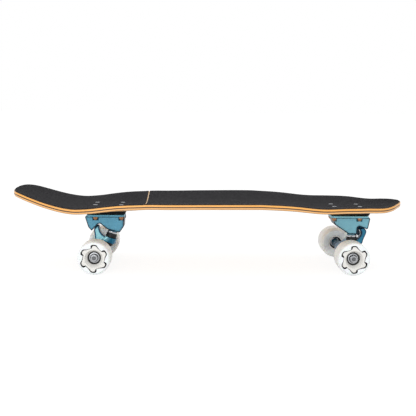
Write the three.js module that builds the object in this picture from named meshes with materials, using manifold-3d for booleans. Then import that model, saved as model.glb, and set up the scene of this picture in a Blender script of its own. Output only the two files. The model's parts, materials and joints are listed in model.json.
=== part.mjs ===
// Surf skateboard: a maple deck with a kicked tail, on two carving trucks with four wide wheels.
// Millimetres. +X points to the nose, +Y to the far side, +Z up.
// The origin is on the ground under the middle of the deck.
import * as THREE from "three";
import { mergeVertices } from "three/addons/utils/BufferGeometryUtils.js";
import Module from "manifold-3d";

const wasm = await Module();
wasm.setup();

// General clearances
const gap = 0.3;
const overrun = 2;

// Deck
const deckLength = 809.6;
const noseOverhang = 116.6;
const tailOverhang = 192.4;
const deckWidth = 260.4;
const woodThickness = 10;
const gripThickness = 1;
const railRounding = 2;
const concaveDepth = 13;
const concavePower = 1.2;
const flatHalfWidth = 28.5;
const flatBandShare = 0.3;
const slitFromRearBolts = 78.8;
const slitWidth = 2.7;
const midRise = 6.8;
const rearRampLength = 63;
const frontRampLength = 135;
const tailKickSlopeShare = 0.381;
const tailKickBlend = 64;
const noseRise = 11.1;
const noseBendPower = 2.2;
const padOuterLength = 53;
const padInnerLength = 42;
const deckRowCount = 36;
const deckSpanCount = 3;

// Truck mounting
const frontBoltPlace = deckLength / 2 - noseOverhang;
const rearBoltPlace = tailOverhang - deckLength / 2;
const slitPlace = rearBoltPlace + slitFromRearBolts;
const boltSpacingLong = 53.98;
const boltSpacingWide = 41.28;
const boltDiameter = 4.8;
const boltHeadDiameter = 9.8;
const boltHeadHeight = 3;
const boltSocketDiameter = 3.4;
const boltSocketDepth = 1.8;
const boltTail = 1.5;
const nutWidth = 9.5;
const nutHeight = 6;
const nutPocketRoom = 1.2;
const frontRiserThickness = 7.4;
const rearRiserThickness = 8.4;
const riserOverhang = 1;
const riserFlare = 2.5;
const riserCorner = 8;

// Truck bases
const baseWidth = 56;
const flangeThickness = 5;
const flangeCorner = 12;
const flangeTopChamfer = 3.8;
const baseBodyWidth = 40;
const baseBevel = 3.2;
const frontBaseInner = 33;
const frontBaseOuter = 50.4;
const frontBaseHeight = 40;
const rearBaseInner = 33.5;
const rearBaseOuter = 49.1;
const rearBaseHeight = 38.8;
const seatRadius = 9.6;

// Hangers
const frontAxleOutward = -3.1;
const frontAxleDrop = 75;
const frontRingOutward = 15.8;
const frontRingDrop = 60;
const frontSteerDegrees = 58.5;
const frontPivotReach = 39;
const rearAxleOutward = 20;
const rearAxleDrop = 74.8;
const rearRingOutward = -1.4;
const rearRingDrop = 56.2;
const rearSteerDegrees = 45;
const rearPivotReach = 42;
const armThickness = 16;
const armBevel = 3;
const ringRadius = 13.5;
const ringThickness = 10.6;
const ringBoreRadius = 7.5;
const linkThickness = 30;
const linkRingRadius = 12;
const linkAxleRadius = 13;
const beamRadius = 14;
const beamNeckRadius = 9.2;
const beamEndRadius = 8.5;
const beamRootShare = 0.18;
const beamNeckShare = 0.65;
const hangerWidth = 165;
const noseRadius = 3.8;
const noseLength = 7;
const noseRounding = 1.5;
const noseRootShare = 0.84;
const cupWall = 1.3;
const cupSink = 1.2;

// Kingpins and bushings
const frontKingpinLeanDegrees = 1;
const rearKingpinLeanDegrees = 18;
const kingpinRadius = 4.75;
const kingpinHeadRadius = 7.5;
const kingpinHeadHeight = 5;
const kingpinHeadSink = 3.6;
const bushingRadius = 11.6;
const bushingSeatRadius = 9.8;
const frontUpperBushingHeight = 8.6;
const rearUpperBushingHeight = 11.4;
const lowerBushingRadius = 10.8;
const lowerBushingHeight = 8.5;
const lowerBushingTipRadius = 7.4;
const upperWasherThickness = 1.5;
const upperWasherRadius = 10.9;
const upperWasherLip = 2;
const kingpinNutWidth = 14;
const kingpinNutHeight = 5.5;
const kingpinNutFlange = 1.4;
const kingpinNutFlangeRadius = 8.3;
const kingpinTip = 1;
const upperPocketRoom = 1.2;
const lowerPocketRoom = 1.1;
const pocketStretchShare = 1.75;

// Wheels
const wheelDiameter = 66.2;
const wheelWidth = 51;
const treadWidth = 31.4;
const lipRadius = 28.5;
const shoulderRadius = 31.4;
const shoulderWidth = 46.4;
const sideRadius = 32.8;
const sideWidth = 38.6;
const innerFaceRadius = 24;
const innerFaceSink = 1;
const hubFaceSink = 4.5;
const outerFaceSink = 0.7;
const coreFaceSink = 2;
const coreRadius = 16;
const coreBoreRadius = 13;
const lobeTipRadius = 26.8;
const lobeValleyRadius = 21;
const lobeGroove = 0.8;
const lobeDepth = 11;
const lobeCount = 6;
const lobeTipPlaceShare = 0.52;
const frontLobeTurnDegrees = -4.2;
const bearingRadius = 11;
const bearingWidth = 7;
const bearingSpacing = 10;
const bearingShoulder = 1.6;
const axleRadius = 4;
const axleNutWidth = 13;
const axleNutHeight = 6;
const axleTip = 1.5;
const speedWasherThickness = 1;

// Facet counts
const wheelSides = 30;
const coreSides = 20;
const smallSides = 16;
const boltSides = 8;
const armSteps = 5;

// Plan outline from the tail tip to the nose tip: place along half the length, half width
const planShares = [
  [-1, 0.05],
  [-0.9973, 0.185],
  [-0.9891, 0.385],
  [-0.9753, 0.514],
  [-0.9555, 0.597],
  [-0.9281, 0.664],
  [-0.8908, 0.717],
  [-0.8439, 0.762],
  [-0.7747, 0.806],
  [-0.6757, 0.864],
  [-0.5767, 0.903],
  [-0.4535, 0.932],
  [-0.2554, 0.959],
  [-0.0089, 0.989],
  [0.176, 1],
  [0.3003, 0.978],
  [0.4235, 0.961],
  [0.5347, 0.943],
  [0.5842, 0.918],
  [0.6832, 0.862],
  [0.7317, 0.838],
  [0.7811, 0.784],
  [0.8308, 0.702],
  [0.8802, 0.608],
  [0.9296, 0.474],
  [0.9541, 0.362],
  [0.9785, 0.2366],
  [0.9933, 0.119],
  [1, 0.035],
];

// Concave along the deck: place along half the length, share of the deepest concave
const concaveShares = [
  [-1, 0.08],
  [-0.949, 0.28],
  [-0.898, 0.31],
  [-0.797, 0.25],
  [-0.696, 0.215],
  [-0.656, 0.23],
  [-0.592, 0.377],
  [-0.525, 0.66],
  [-0.459, 0.9],
  [-0.404, 1],
  [-0.38, 0.95],
  [-0.33, 0.785],
  [-0.268, 0.62],
  [-0.009, 0.7],
  [0.234, 0.748],
  [0.3, 0.673],
  [0.424, 0.66],
  [0.535, 0.58],
  [0.646, 0.638],
  [0.708, 0.646],
  [0.777, 0.615],
  [0.83, 0.5],
  [0.88, 0.415],
  [0.955, 0.37],
  [1, 0.08],
];

// Side outlines of the bases below the flange: share of the base's length, share of its height
const frontBaseShares = [
  [0.007, 0.08],
  [0.03, 0.2],
  [0.102, 0.505],
  [0.456, 1],
  [0.667, 1],
  [0.95, 0.705],
  [1, 0.18],
  [0.964, 0.08],
];
const rearBaseShares = [
  [0.006, 0.08],
  [0.011, 0.229],
  [0.023, 0.683],
  [0.127, 1],
  [0.431, 0.822],
  [0.836, 0.91],
  [0.919, 0.709],
  [1, 0.165],
  [0.969, 0.08],
];

// Core's outline over one lobe, anticlockwise from the foot of its gentle side, seen from outside: share of
// the lobe, share of the way from valley to tip
const lobeShares = [
  [0, 0.08],
  [0.17, 0.3],
  [0.33, 0.7],
  [0.46, 0.96],
  [0.56, 1],
  [0.65, 0.74],
  [0.73, 0.12],
  [0.86, 0],
];
const lobePocketShares = [
  [0, 0.1],
  [0.17, 0.32],
  [0.33, 0.72],
  [0.46, 0.97],
  [0.6, 1],
  [0.7, 0.82],
  [0.78, 0.14],
  [0.88, 0],
];

// Notches cut through the bases for the hangers' arms, in the same shares
const frontNotchShares = [
  [0.667, 1.15],
  [0.677, 0.657],
  [0.717, 0.58],
  [0.903, 0.715],
  [1.043, 1.15],
];
const rearNotchShares = [
  [0.425, 0.84],
  [0.618, 0.51],
  [0.676, 0.546],
  [0.768, 0.766],
  [0.842, 0.92],
  [0.839, 1.186],
  [0.423, 1.186],
];

// Side outlines of the hanger arms: along and across the steering axis, as shares of the pivot's reach
const frontArmShares = [
  [0.84, -0.03],
  [0.99, 0.05],
  [1.01, 0.2],
  [0.92, 0.35],
  [0.5, 0.44],
  [0.2, 0.5],
  [0.01, 0.36],
  [-0.19, 0],
  [-0.24, -0.24],
  [-0.05, -0.32],
  [0.14, -0.02],
  [0.28, 0.11],
  [0.44, 0.17],
  [0.61, 0.18],
  [0.75, 0.11],
];
const rearArmShares = [
  [0.9, -0.13],
  [0.96, -0.06],
  [0.96, 0.13],
  [0.92, 0.21],
  [0.72, 0.36],
  [0.54, 0.53],
  [0.3, 0.7],
  [0.04, 0.54],
  [-0.11, 0.15],
  [-0.18, -0.08],
  [0.06, -0.11],
  [0.26, 0.02],
  [0.45, 0.06],
  [0.68, 0.01],
];

// Heights that follow from the pieces above
const wheelRadius = wheelDiameter / 2;
const frontBaseTop = wheelRadius + frontAxleDrop;
const rearBaseTop = wheelRadius + rearAxleDrop;
const frontPadHeight = frontBaseTop + frontRiserThickness + 2 * gap + woodThickness;
const rearPadHeight = rearBaseTop + rearRiserThickness + 2 * gap + woodThickness;
const midHeight = rearPadHeight + midRise;
const wheelPlace = hangerWidth / 2 + speedWasherThickness + gap + bearingSpacing / 2 + bearingWidth;

// Materials
const grip = new THREE.MeshStandardMaterial({ color: 0x2e2d30, roughness: 0.95, metalness: 0 });
const maple = new THREE.MeshStandardMaterial({ color: 0xe0ad6c, roughness: 0.45, metalness: 0 });
const blackRubber = new THREE.MeshStandardMaterial({ color: 0x0c0c0d, roughness: 0.7, metalness: 0 });
const satinBlue = new THREE.MeshStandardMaterial({ color: 0x5a93a8, roughness: 0.35, metalness: 0.7 });
const deepBlue = new THREE.MeshStandardMaterial({ color: 0x1d7ba0, roughness: 0.25, metalness: 0.8 });
const steel = new THREE.MeshStandardMaterial({ color: 0xb4b6ba, roughness: 0.3, metalness: 1 });
const copperGold = new THREE.MeshStandardMaterial({ color: 0xb98a55, roughness: 0.35, metalness: 1 });
const urethane = new THREE.MeshStandardMaterial({ color: 0xf0f0ea, roughness: 0.4, metalness: 0 });
const coreWhite = new THREE.MeshStandardMaterial({ color: 0xf6f5f2, roughness: 0.35, metalness: 0 });
const bushingBlack = new THREE.MeshStandardMaterial({ color: 0x151515, roughness: 0.5, metalness: 0 });

// Solid made from a closed three.js geometry, turned right side out
function solidOf(geometry) {
  const bare = geometry.clone();
  bare.deleteAttribute("normal");
  bare.deleteAttribute("uv");
  const merged = mergeVertices(bare);
  const corners = merged.index.array;
  const kept = [];
  for (let i = 0; i < corners.length; i += 3) {
    const [a, b, c] = [corners[i], corners[i + 1], corners[i + 2]];
    if (a !== b && b !== c && c !== a) kept.push(a, b, c);
  }
  const vertProperties = new Float32Array(merged.attributes.position.array);
  const forward = { numProp: 3, vertProperties, triVerts: new Uint32Array(kept) };
  const solid = new wasm.Manifold(new wasm.Mesh(forward));
  if (solid.volume() > 0) return solid;
  const reversed = { numProp: 3, vertProperties, triVerts: new Uint32Array(kept.reverse()) };
  return new wasm.Manifold(new wasm.Mesh(reversed));
}

// Geometry of a joined or cut solid
function geometryOf(solid) {
  const mesh = solid.getMesh();
  const geometry = new THREE.BufferGeometry();
  geometry.setAttribute("position", new THREE.BufferAttribute(mesh.vertProperties, 3));
  geometry.setIndex(new THREE.BufferAttribute(mesh.triVerts, 1));
  geometry.computeVertexNormals();
  return geometry;
}

// Matrix that moves a shape from the origin to a place, with its +Z along a direction
function placed(place, direction) {
  const turn = new THREE.Quaternion().setFromUnitVectors(new THREE.Vector3(0, 0, 1), direction);
  return new THREE.Matrix4().compose(place, turn, new THREE.Vector3(1, 1, 1));
}

// Turned shape about +Z from a profile of radius and height
function turned(profile, sides) {
  const points = profile.map(([radius, height]) => new THREE.Vector2(radius, height));
  return new THREE.LatheGeometry(points, sides).rotateX(Math.PI / 2);
}

// Turned profile of a ring or a disc, between two heights
function ringProfile(innerRadius, outerRadius, low, high) {
  const corners = [
    [innerRadius, low],
    [outerRadius, low],
    [outerRadius, high],
    [innerRadius, high],
  ];
  if (innerRadius > 0) corners.push([innerRadius, low]);
  return corners;
}

// Cylinder about a direction, from one distance along it to another
function rod(radius, low, high, sides, place, direction) {
  const shape = turned(ringProfile(0, radius, low, high), sides);
  return solidOf(shape.applyMatrix4(placed(place, direction)));
}

// Outline in the X-Z plane, thickened evenly to both sides of Y, with bevelled edges
function sidePlate(points, thickness, bevel) {
  const shape = new THREE.Shape(points);
  const options = {
    depth: thickness - 2 * bevel,
    bevelEnabled: bevel > 0,
    bevelThickness: bevel,
    bevelSize: bevel,
    bevelOffset: -bevel,
    bevelSegments: 1,
    steps: 1,
    curveSegments: 6,
  };
  const geometry = new THREE.ExtrudeGeometry(shape, options);
  geometry.translate(0, 0, bevel - thickness / 2);
  return solidOf(geometry.rotateX(Math.PI / 2));
}

// Rectangle with rounded corners in the X-Y plane
function roundedRectangle(low, high, halfWidth, corner) {
  const shape = new THREE.Shape();
  shape.moveTo(low + corner, -halfWidth);
  shape.lineTo(high - corner, -halfWidth);
  shape.quadraticCurveTo(high, -halfWidth, high, corner - halfWidth);
  shape.lineTo(high, halfWidth - corner);
  shape.quadraticCurveTo(high, halfWidth, high - corner, halfWidth);
  shape.lineTo(low + corner, halfWidth);
  shape.quadraticCurveTo(low, halfWidth, low, halfWidth - corner);
  shape.lineTo(low, corner - halfWidth);
  shape.quadraticCurveTo(low, -halfWidth, low + corner, -halfWidth);
  return shape;
}

// Hexagon across its flats, centred on the origin
function hexagon(width) {
  const corners = [];
  for (let side = 0; side < 6; side += 1) {
    const angle = (side * Math.PI) / 3;
    const radius = width / Math.sqrt(3);
    corners.push(new THREE.Vector2(radius * Math.cos(angle), radius * Math.sin(angle)));
  }
  return new THREE.Shape(corners);
}

// Hexagonal nut about +Z with a round bore
function hexNut(width, height, boreRadius) {
  const shape = hexagon(width);
  const bore = new THREE.Path().absarc(0, 0, boreRadius, 0, 2 * Math.PI, true);
  shape.holes.push(bore);
  return new THREE.ExtrudeGeometry(shape, { depth: height, bevelEnabled: false, curveSegments: 6 });
}

// Named mesh in a group
function addPiece(group, name, geometry, material, matrix) {
  const mesh = new THREE.Mesh(geometry, material);
  mesh.name = name;
  if (matrix) matrix.decompose(mesh.position, mesh.quaternion, mesh.scale);
  group.add(mesh);
  return mesh;
}

// Smooth step from 0 to 1
function smoothShare(share) {
  const held = Math.min(Math.max(share, 0), 1);
  return held * held * (3 - 2 * held);
}

// Value of a table of places and values, with smooth joins between its rows
function tableValue(table, place) {
  const last = table.length - 1;
  let row = 0;
  while (row < last - 1 && table[row + 1][0] < place) row += 1;
  const slopeAt = (index) => {
    const before = table[Math.max(index - 1, 0)];
    const after = table[Math.min(index + 1, last)];
    return (after[1] - before[1]) / (after[0] - before[0]);
  };
  const [[startPlace, startValue], [endPlace, endValue]] = [table[row], table[row + 1]];
  const span = endPlace - startPlace;
  const t = Math.min(Math.max((place - startPlace) / span, 0), 1);
  const startPart = startValue * (1 + 2 * t) * (1 - t) ** 2 + slopeAt(row) * span * t * (1 - t) ** 2;
  const endPart = endValue * t * t * (3 - 2 * t) + slopeAt(row + 1) * span * t * t * (t - 1);
  return startPart + endPart;
}

// Height of the wood's top face along the middle of the deck
function centreHeight(x) {
  const rearRampStart = rearBoltPlace + padInnerLength;
  const frontRampStart = frontBoltPlace - padInnerLength - frontRampLength;
  const tailKick = rearBoltPlace - padOuterLength - x;
  const noseKick = x - frontBoltPlace - padOuterLength;
  const noseLengthPastPad = deckLength / 2 - frontBoltPlace - padOuterLength;
  const climb = midRise * smoothShare((x - rearRampStart) / rearRampLength);
  const fall = (midHeight - frontPadHeight) * smoothShare((x - frontRampStart) / frontRampLength);
  let height = rearPadHeight + climb - fall;
  if (tailKick > 0) height += tailKickSlopeShare * (Math.hypot(tailKick, tailKickBlend) - tailKickBlend);
  if (noseKick > 0) height += noseRise * (noseKick / noseLengthPastPad) ** noseBendPower;
  return height;
}

// Height of the wood's top face at a place, in a row of the given half width
function topHeight(x, y, halfWidth) {
  const flat = Math.min(flatHalfWidth, halfWidth * flatBandShare);
  const share = Math.max(Math.abs(y) - flat, 0) / (halfWidth - flat);
  const depth = concaveDepth * tableValue(concaveShares, (2 * x) / deckLength);
  return centreHeight(x) + depth * share ** concavePower;
}

const planCurve = new THREE.CatmullRomCurve3(
  planShares.map(([along, across]) => {
    return new THREE.Vector3((along * deckLength) / 2, (across * deckWidth) / 2, 0);
  }),
  false,
  "centripetal",
);

// Row across the deck at a share of the outline: the rail and the edge of the top face inside it
function deckRow(share) {
  const rail = planCurve.getPointAt(share);
  const tangent = planCurve.getTangentAt(share);
  return {
    x: rail.x,
    halfWidth: rail.y,
    faceX: rail.x + railRounding * tangent.y,
    faceHalfWidth: rail.y - railRounding * tangent.x,
  };
}

// Row whose top face lies at a place along the deck
function deckRowAt(place) {
  let [low, high] = [0, 1];
  while (high - low > Number.EPSILON) {
    const middle = (low + high) / 2;
    if (middle === low || middle === high) break;
    if (deckRow(middle).faceX < place) low = middle;
    else high = middle;
  }
  return deckRow(low);
}

// Places across a row, with a flat band between the middle pair
function acrossPlaces(row) {
  const flat = Math.min(flatHalfWidth, row.faceHalfWidth * flatBandShare);
  const half = [];
  for (let step = 0; step <= deckSpanCount; step += 1) {
    half.push(flat + ((row.faceHalfWidth - flat) * step) / deckSpanCount);
  }
  const mirrored = half.map((place) => -place).reverse();
  return [...mirrored, ...half];
}

// Points across a row's face, raised above or sunk below the wood's top
function facePoints(row, lift) {
  return acrossPlaces(row).map((y) => {
    return new THREE.Vector3(row.faceX, y, topHeight(row.faceX, y, row.halfWidth) + lift);
  });
}

// Closed loop round the wood at a row
function woodLoop(row) {
  const railTop = topHeight(row.x, row.halfWidth, row.halfWidth);
  const rail = (side, drop) => new THREE.Vector3(row.x, side * row.halfWidth, railTop - drop);
  const upper = facePoints(row, 0);
  const lower = facePoints(row, -woodThickness).reverse();
  const lowDrop = woodThickness - railRounding;
  return [...upper, rail(1, railRounding), rail(1, lowDrop), ...lower, rail(-1, lowDrop), rail(-1, railRounding)];
}

// Closed loop round the grip tape at a row
function gripLoop(row) {
  return [...facePoints(row, gap + gripThickness), ...facePoints(row, gap).reverse()];
}

// Solid through a run of loops that have equally many points
function loftSolid(loops) {
  const count = loops[0].length;
  const positions = loops.flat().flatMap((point) => [point.x, point.y, point.z]);
  const corners = [];
  for (let ring = 0; ring + 1 < loops.length; ring += 1) {
    for (let index = 0; index < count; index += 1) {
      const next = (index + 1) % count;
      const [a, b] = [ring * count + index, ring * count + next];
      const [c, d] = [a + count, b + count];
      const outerFirst = Math.abs(loops[ring][index].y) > Math.abs(loops[ring][next].y);
      corners.push(...(outerFirst ? [a, b, d, a, d, c] : [a, b, c, b, d, c]));
    }
  }
  [0, loops.length - 1].forEach((ring) => {
    const flat = loops[ring].map((point) => new THREE.Vector2(point.y, point.z));
    THREE.ShapeUtils.triangulateShape(flat, []).forEach((triangle) => {
      const face = triangle.map((index) => ring * count + index);
      corners.push(...(ring ? face.reverse() : face));
    });
  });
  const geometry = new THREE.BufferGeometry();
  geometry.setAttribute("position", new THREE.Float32BufferAttribute(positions, 3));
  geometry.setIndex(corners);
  return solidOf(geometry);
}

const slitRearRow = deckRowAt(slitPlace - slitWidth / 2);
const slitFrontRow = deckRowAt(slitPlace + slitWidth / 2);
const evenRows = Array.from({ length: deckRowCount }, (_, row) => deckRow(row / (deckRowCount - 1)));
const deckRows = [...evenRows, slitRearRow, slitFrontRow].sort((a, b) => a.x - b.x);

// Centres of the four deck bolts of a truck, in the truck's own frame
function boltPlaces() {
  const places = [];
  [1, -1].forEach((along) => {
    [1, -1].forEach((across) => {
      places.push(new THREE.Vector2((along * boltSpacingLong) / 2, (across * boltSpacingWide) / 2));
    });
  });
  return places;
}

// Cuts one vertical hole at each bolt of a truck
function drillBolts(solid, centre, radius, low, high, sides) {
  const up = new THREE.Vector3(0, 0, 1);
  return boltPlaces().reduce((left, bolt) => {
    const place = new THREE.Vector3(centre + bolt.x, bolt.y, 0);
    return left.subtract(rod(radius, low, high, sides, place, up));
  }, solid);
}

const trucks = [
  {
    end: "front",
    facing: 1,
    boltPlace: frontBoltPlace,
    baseTop: frontBaseTop,
    padHeight: frontPadHeight,
    riserThickness: frontRiserThickness,
    inner: frontBaseInner,
    outer: frontBaseOuter,
    height: frontBaseHeight,
    baseShares: frontBaseShares,
    notchShares: frontNotchShares,
    armShares: frontArmShares,
    axle: new THREE.Vector3(frontAxleOutward, 0, -frontAxleDrop),
    ring: new THREE.Vector3(frontRingOutward, 0, -frontRingDrop),
    steerDegrees: frontSteerDegrees,
    leanDegrees: frontKingpinLeanDegrees,
    upperBushingHeight: frontUpperBushingHeight,
    reach: frontPivotReach,
    lobeTurnDegrees: frontLobeTurnDegrees,
  },
  {
    end: "rear",
    facing: -1,
    boltPlace: rearBoltPlace,
    baseTop: rearBaseTop,
    padHeight: rearPadHeight,
    riserThickness: rearRiserThickness,
    inner: rearBaseInner,
    outer: rearBaseOuter,
    height: rearBaseHeight,
    baseShares: rearBaseShares,
    notchShares: rearNotchShares,
    armShares: rearArmShares,
    axle: new THREE.Vector3(rearAxleOutward, 0, -rearAxleDrop),
    ring: new THREE.Vector3(rearRingOutward, 0, -rearRingDrop),
    steerDegrees: rearSteerDegrees,
    leanDegrees: rearKingpinLeanDegrees,
    upperBushingHeight: rearUpperBushingHeight,
    reach: rearPivotReach,
    lobeTurnDegrees: 0,
  },
];

// Wood with its bolt holes and countersinks
function makeDeck() {
  let wood = loftSolid(deckRows.map(woodLoop));
  trucks.forEach((truck) => {
    const low = truck.padHeight - woodThickness - overrun;
    const high = truck.padHeight + overrun;
    const headFloor = truck.padHeight + gap + gripThickness - boltHeadHeight - gap;
    wood = drillBolts(wood, truck.boltPlace, boltDiameter / 2 + gap, low, high, boltSides);
    wood = drillBolts(wood, truck.boltPlace, boltHeadDiameter / 2 + gap, headFloor, high, boltSides);
  });
  return wood;
}

// Grip tape over a run of rows, with a hole at each bolt head of a truck
function makeGrip(rows, truck) {
  const tape = loftSolid(rows.map(gripLoop));
  const high = truck.padHeight + gap + gripThickness + overrun;
  return drillBolts(tape, truck.boltPlace, boltHeadDiameter / 2 + gap, truck.padHeight, high, boltSides);
}

// Countersunk deck bolt about +Z, with its head's top at the origin
function deckBolt(length) {
  const profile = [
    [0, -length],
    [boltDiameter / 2, -length],
    [boltDiameter / 2, -boltHeadHeight],
    [boltHeadDiameter / 2, (-boltHeadHeight * boltSocketDiameter) / boltHeadDiameter],
    [boltHeadDiameter / 2, 0],
    [boltSocketDiameter / 2, 0],
    [boltSocketDiameter / 2, -boltSocketDepth],
    [0, -boltSocketDepth],
  ];
  return turned(profile, boltSides);
}

// Rubber riser between a base and the deck, wider at its top
function makeRiser(truck) {
  const half = baseWidth / 2 - riserFlare;
  const inner = truck.inner + riserOverhang;
  const outer = truck.outer - flangeTopChamfer + riserOverhang;
  const shape = roundedRectangle(-inner, outer, half, riserCorner);
  const flat = new THREE.ExtrudeGeometry(shape, { depth: 1, bevelEnabled: false, curveSegments: 2 });
  const place = flat.attributes.position;
  for (let index = 0; index < place.count; index += 1) {
    const top = place.getZ(index) > 0;
    const middle = (outer - inner) / 2;
    const alongSide = Math.sign(place.getX(index) - middle);
    const acrossSide = Math.sign(place.getY(index));
    if (top) {
      place.setX(index, place.getX(index) + alongSide * riserFlare);
      place.setY(index, place.getY(index) + acrossSide * riserFlare);
    }
    place.setZ(index, gap + (top ? truck.riserThickness : 0));
  }
  const high = truck.riserThickness + overrun;
  return drillBolts(solidOf(flat), 0, boltDiameter / 2 + gap, -overrun, high, boltSides);
}

// Direction of a truck's kingpin, upwards
function kingpinDirection(truck) {
  const lean = THREE.MathUtils.degToRad(truck.leanDegrees);
  return new THREE.Vector3(-Math.sin(lean), 0, Math.cos(lean));
}

// Direction of a truck's steering axis, upwards and outwards
function steerDirection(truck) {
  const steer = THREE.MathUtils.degToRad(truck.steerDegrees);
  return new THREE.Vector3(Math.cos(steer), 0, Math.sin(steer));
}

// Heights along a truck's kingpin, counted upwards from the ring's middle
const upperBushingLow = ringThickness / 2 + gap;
const lowerBushingHigh = -ringThickness / 2 - gap;
const kingpinNutHigh = lowerBushingHigh - lowerBushingHeight - gap;
const kingpinLow = kingpinNutHigh - kingpinNutFlange - kingpinNutHeight - kingpinTip;
const upperWasherLow = (truck) => upperBushingLow + truck.upperBushingHeight + gap;
const seatHeight = (truck) => upperWasherLow(truck) + upperWasherThickness + gap;
const kingpinTop = (truck) => (-truck.ring.z - kingpinHeadSink) / kingpinDirection(truck).z;

// Outline given as shares of a base's length and height, in the X-Z plane
function baseOutline(truck, shares) {
  const length = truck.inner + truck.outer;
  return shares.map(([along, down]) => {
    return new THREE.Vector2(along * length - truck.inner, -down * truck.height);
  });
}

// Base casting: flange, body, bushing seat, notch and bores
function makeBase(truck) {
  const flangeOuter = truck.outer - flangeTopChamfer;
  const plate = roundedRectangle(-truck.inner, flangeOuter, baseWidth / 2, flangeCorner);
  const options = { depth: flangeThickness, bevelEnabled: false, curveSegments: 4 };
  const flange = new THREE.ExtrudeGeometry(plate, options).translate(0, 0, -flangeThickness);
  const low = seatHeight(truck);
  const seat = rod(seatRadius, low, low + seatRadius, smallSides, truck.ring, kingpinDirection(truck));
  const body = sidePlate(baseOutline(truck, truck.baseShares), baseBodyWidth, baseBevel);
  const notch = sidePlate(baseOutline(truck, truck.notchShares), baseBodyWidth + overrun, 0);
  let base = solidOf(flange).add(body).subtract(notch).add(seat);
  const pocketRadius = nutWidth / Math.sqrt(3) + nutPocketRoom;
  base = drillBolts(base, 0, boltDiameter / 2 + gap, -flangeThickness - overrun, overrun, boltSides);
  base = drillBolts(base, 0, pocketRadius, -flangeThickness - nutHeight - overrun, -flangeThickness, boltSides);
  return boreBase(truck, base);
}

// Cuts the kingpin's and the pivot cup's bores out of a base
function boreBase(truck, base) {
  const kingpin = kingpinDirection(truck);
  const top = kingpinTop(truck);
  const headFloor = top - kingpinHeadHeight - gap;
  const shank = rod(kingpinRadius + gap, 0, top + overrun, smallSides, truck.ring, kingpin);
  const head = rod(kingpinHeadRadius + gap, headFloor, top + truck.height / 2, smallSides, truck.ring, kingpin);
  const washerRadius = upperWasherRadius + 2 * gap;
  const washer = rod(washerRadius, 0, seatHeight(truck), smallSides, truck.ring, kingpin);
  const cupTop = truck.reach + noseLength + cupWall + 2 * gap;
  const cupRadius = noseRadius + cupWall + 2 * gap;
  const cup = rod(cupRadius, truck.reach - overrun, cupTop, smallSides, truck.ring, steerDirection(truck));
  return base.subtract(shank).subtract(head).subtract(washer).subtract(cup);
}

// Plastic cup that the hanger's nose turns in
function pivotCup(truck) {
  const inside = noseRadius + gap;
  const outside = inside + cupWall;
  const floor = truck.reach + noseLength + gap;
  const profile = [
    [0, floor],
    [inside, floor],
    [inside, truck.reach + cupSink],
    [outside, truck.reach + cupSink],
    [outside, floor + cupWall],
    [0, floor + cupWall],
  ];
  return turned(profile, smallSides);
}

// Link outline round two circles, in the X-Z plane
function linkPoints(start, startRadius, end, endRadius) {
  const across = new THREE.Vector2(end.x - start.x, end.z - start.z);
  const heading = Math.atan2(across.y, across.x);
  const lean = Math.acos((startRadius - endRadius) / across.length());
  const points = [];
  for (let step = 0; step <= armSteps; step += 1) {
    const angle = heading + lean + ((2 * Math.PI - 2 * lean) * step) / armSteps;
    points.push(new THREE.Vector2(start.x + startRadius * Math.cos(angle), start.z + startRadius * Math.sin(angle)));
  }
  for (let step = 0; step <= armSteps; step += 1) {
    const angle = heading - lean + (2 * lean * step) / armSteps;
    points.push(new THREE.Vector2(end.x + endRadius * Math.cos(angle), end.z + endRadius * Math.sin(angle)));
  }
  return points;
}

// Profile of the beam that holds the axle, from the middle to one end and back
function beamProfile() {
  const half = hangerWidth / 2;
  const side = [
    [beamRadius, half * beamRootShare],
    [beamNeckRadius, half * beamNeckShare],
    [beamEndRadius, half],
  ];
  const mirrored = side.map(([radius, place]) => [radius, -place]).reverse();
  const bore = axleRadius + gap;
  return [[bore, -half], ...mirrored, ...side, [bore, half], [bore, -half]];
}

// Hanger: arm with the pivot nose, ring on the kingpin, link and beam
function makeHanger(truck) {
  const steer = steerDirection(truck);
  const outward = new THREE.Vector3(steer.z, 0, -steer.x);
  const outline = truck.armShares.map(([along, across]) => {
    const point = truck.ring.clone().addScaledVector(steer, along * truck.reach);
    point.addScaledVector(outward, across * truck.reach);
    return new THREE.Vector2(point.x, point.z);
  });
  const kingpin = kingpinDirection(truck);
  const half = ringThickness / 2;
  const nose = [
    [0, truck.reach * noseRootShare],
    [noseRadius, truck.reach * noseRootShare],
    [noseRadius, truck.reach + noseLength - noseRounding],
    [noseRadius - noseRounding, truck.reach + noseLength],
    [0, truck.reach + noseLength],
  ];
  const link = linkPoints(truck.ring, linkRingRadius, truck.axle, linkAxleRadius);
  const beam = turned(beamProfile(), smallSides).rotateX(Math.PI / 2);
  const noseShape = turned(nose, smallSides).applyMatrix4(placed(truck.ring, steer));
  const body = sidePlate(outline, armThickness, armBevel)
    .add(rod(ringRadius, -half, half, smallSides, truck.ring, kingpin))
    .add(sidePlate(link, linkThickness, armBevel))
    .add(solidOf(beam.translate(truck.axle.x, truck.axle.y, truck.axle.z)));
  return boreHanger(truck, body, solidOf(noseShape));
}

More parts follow.
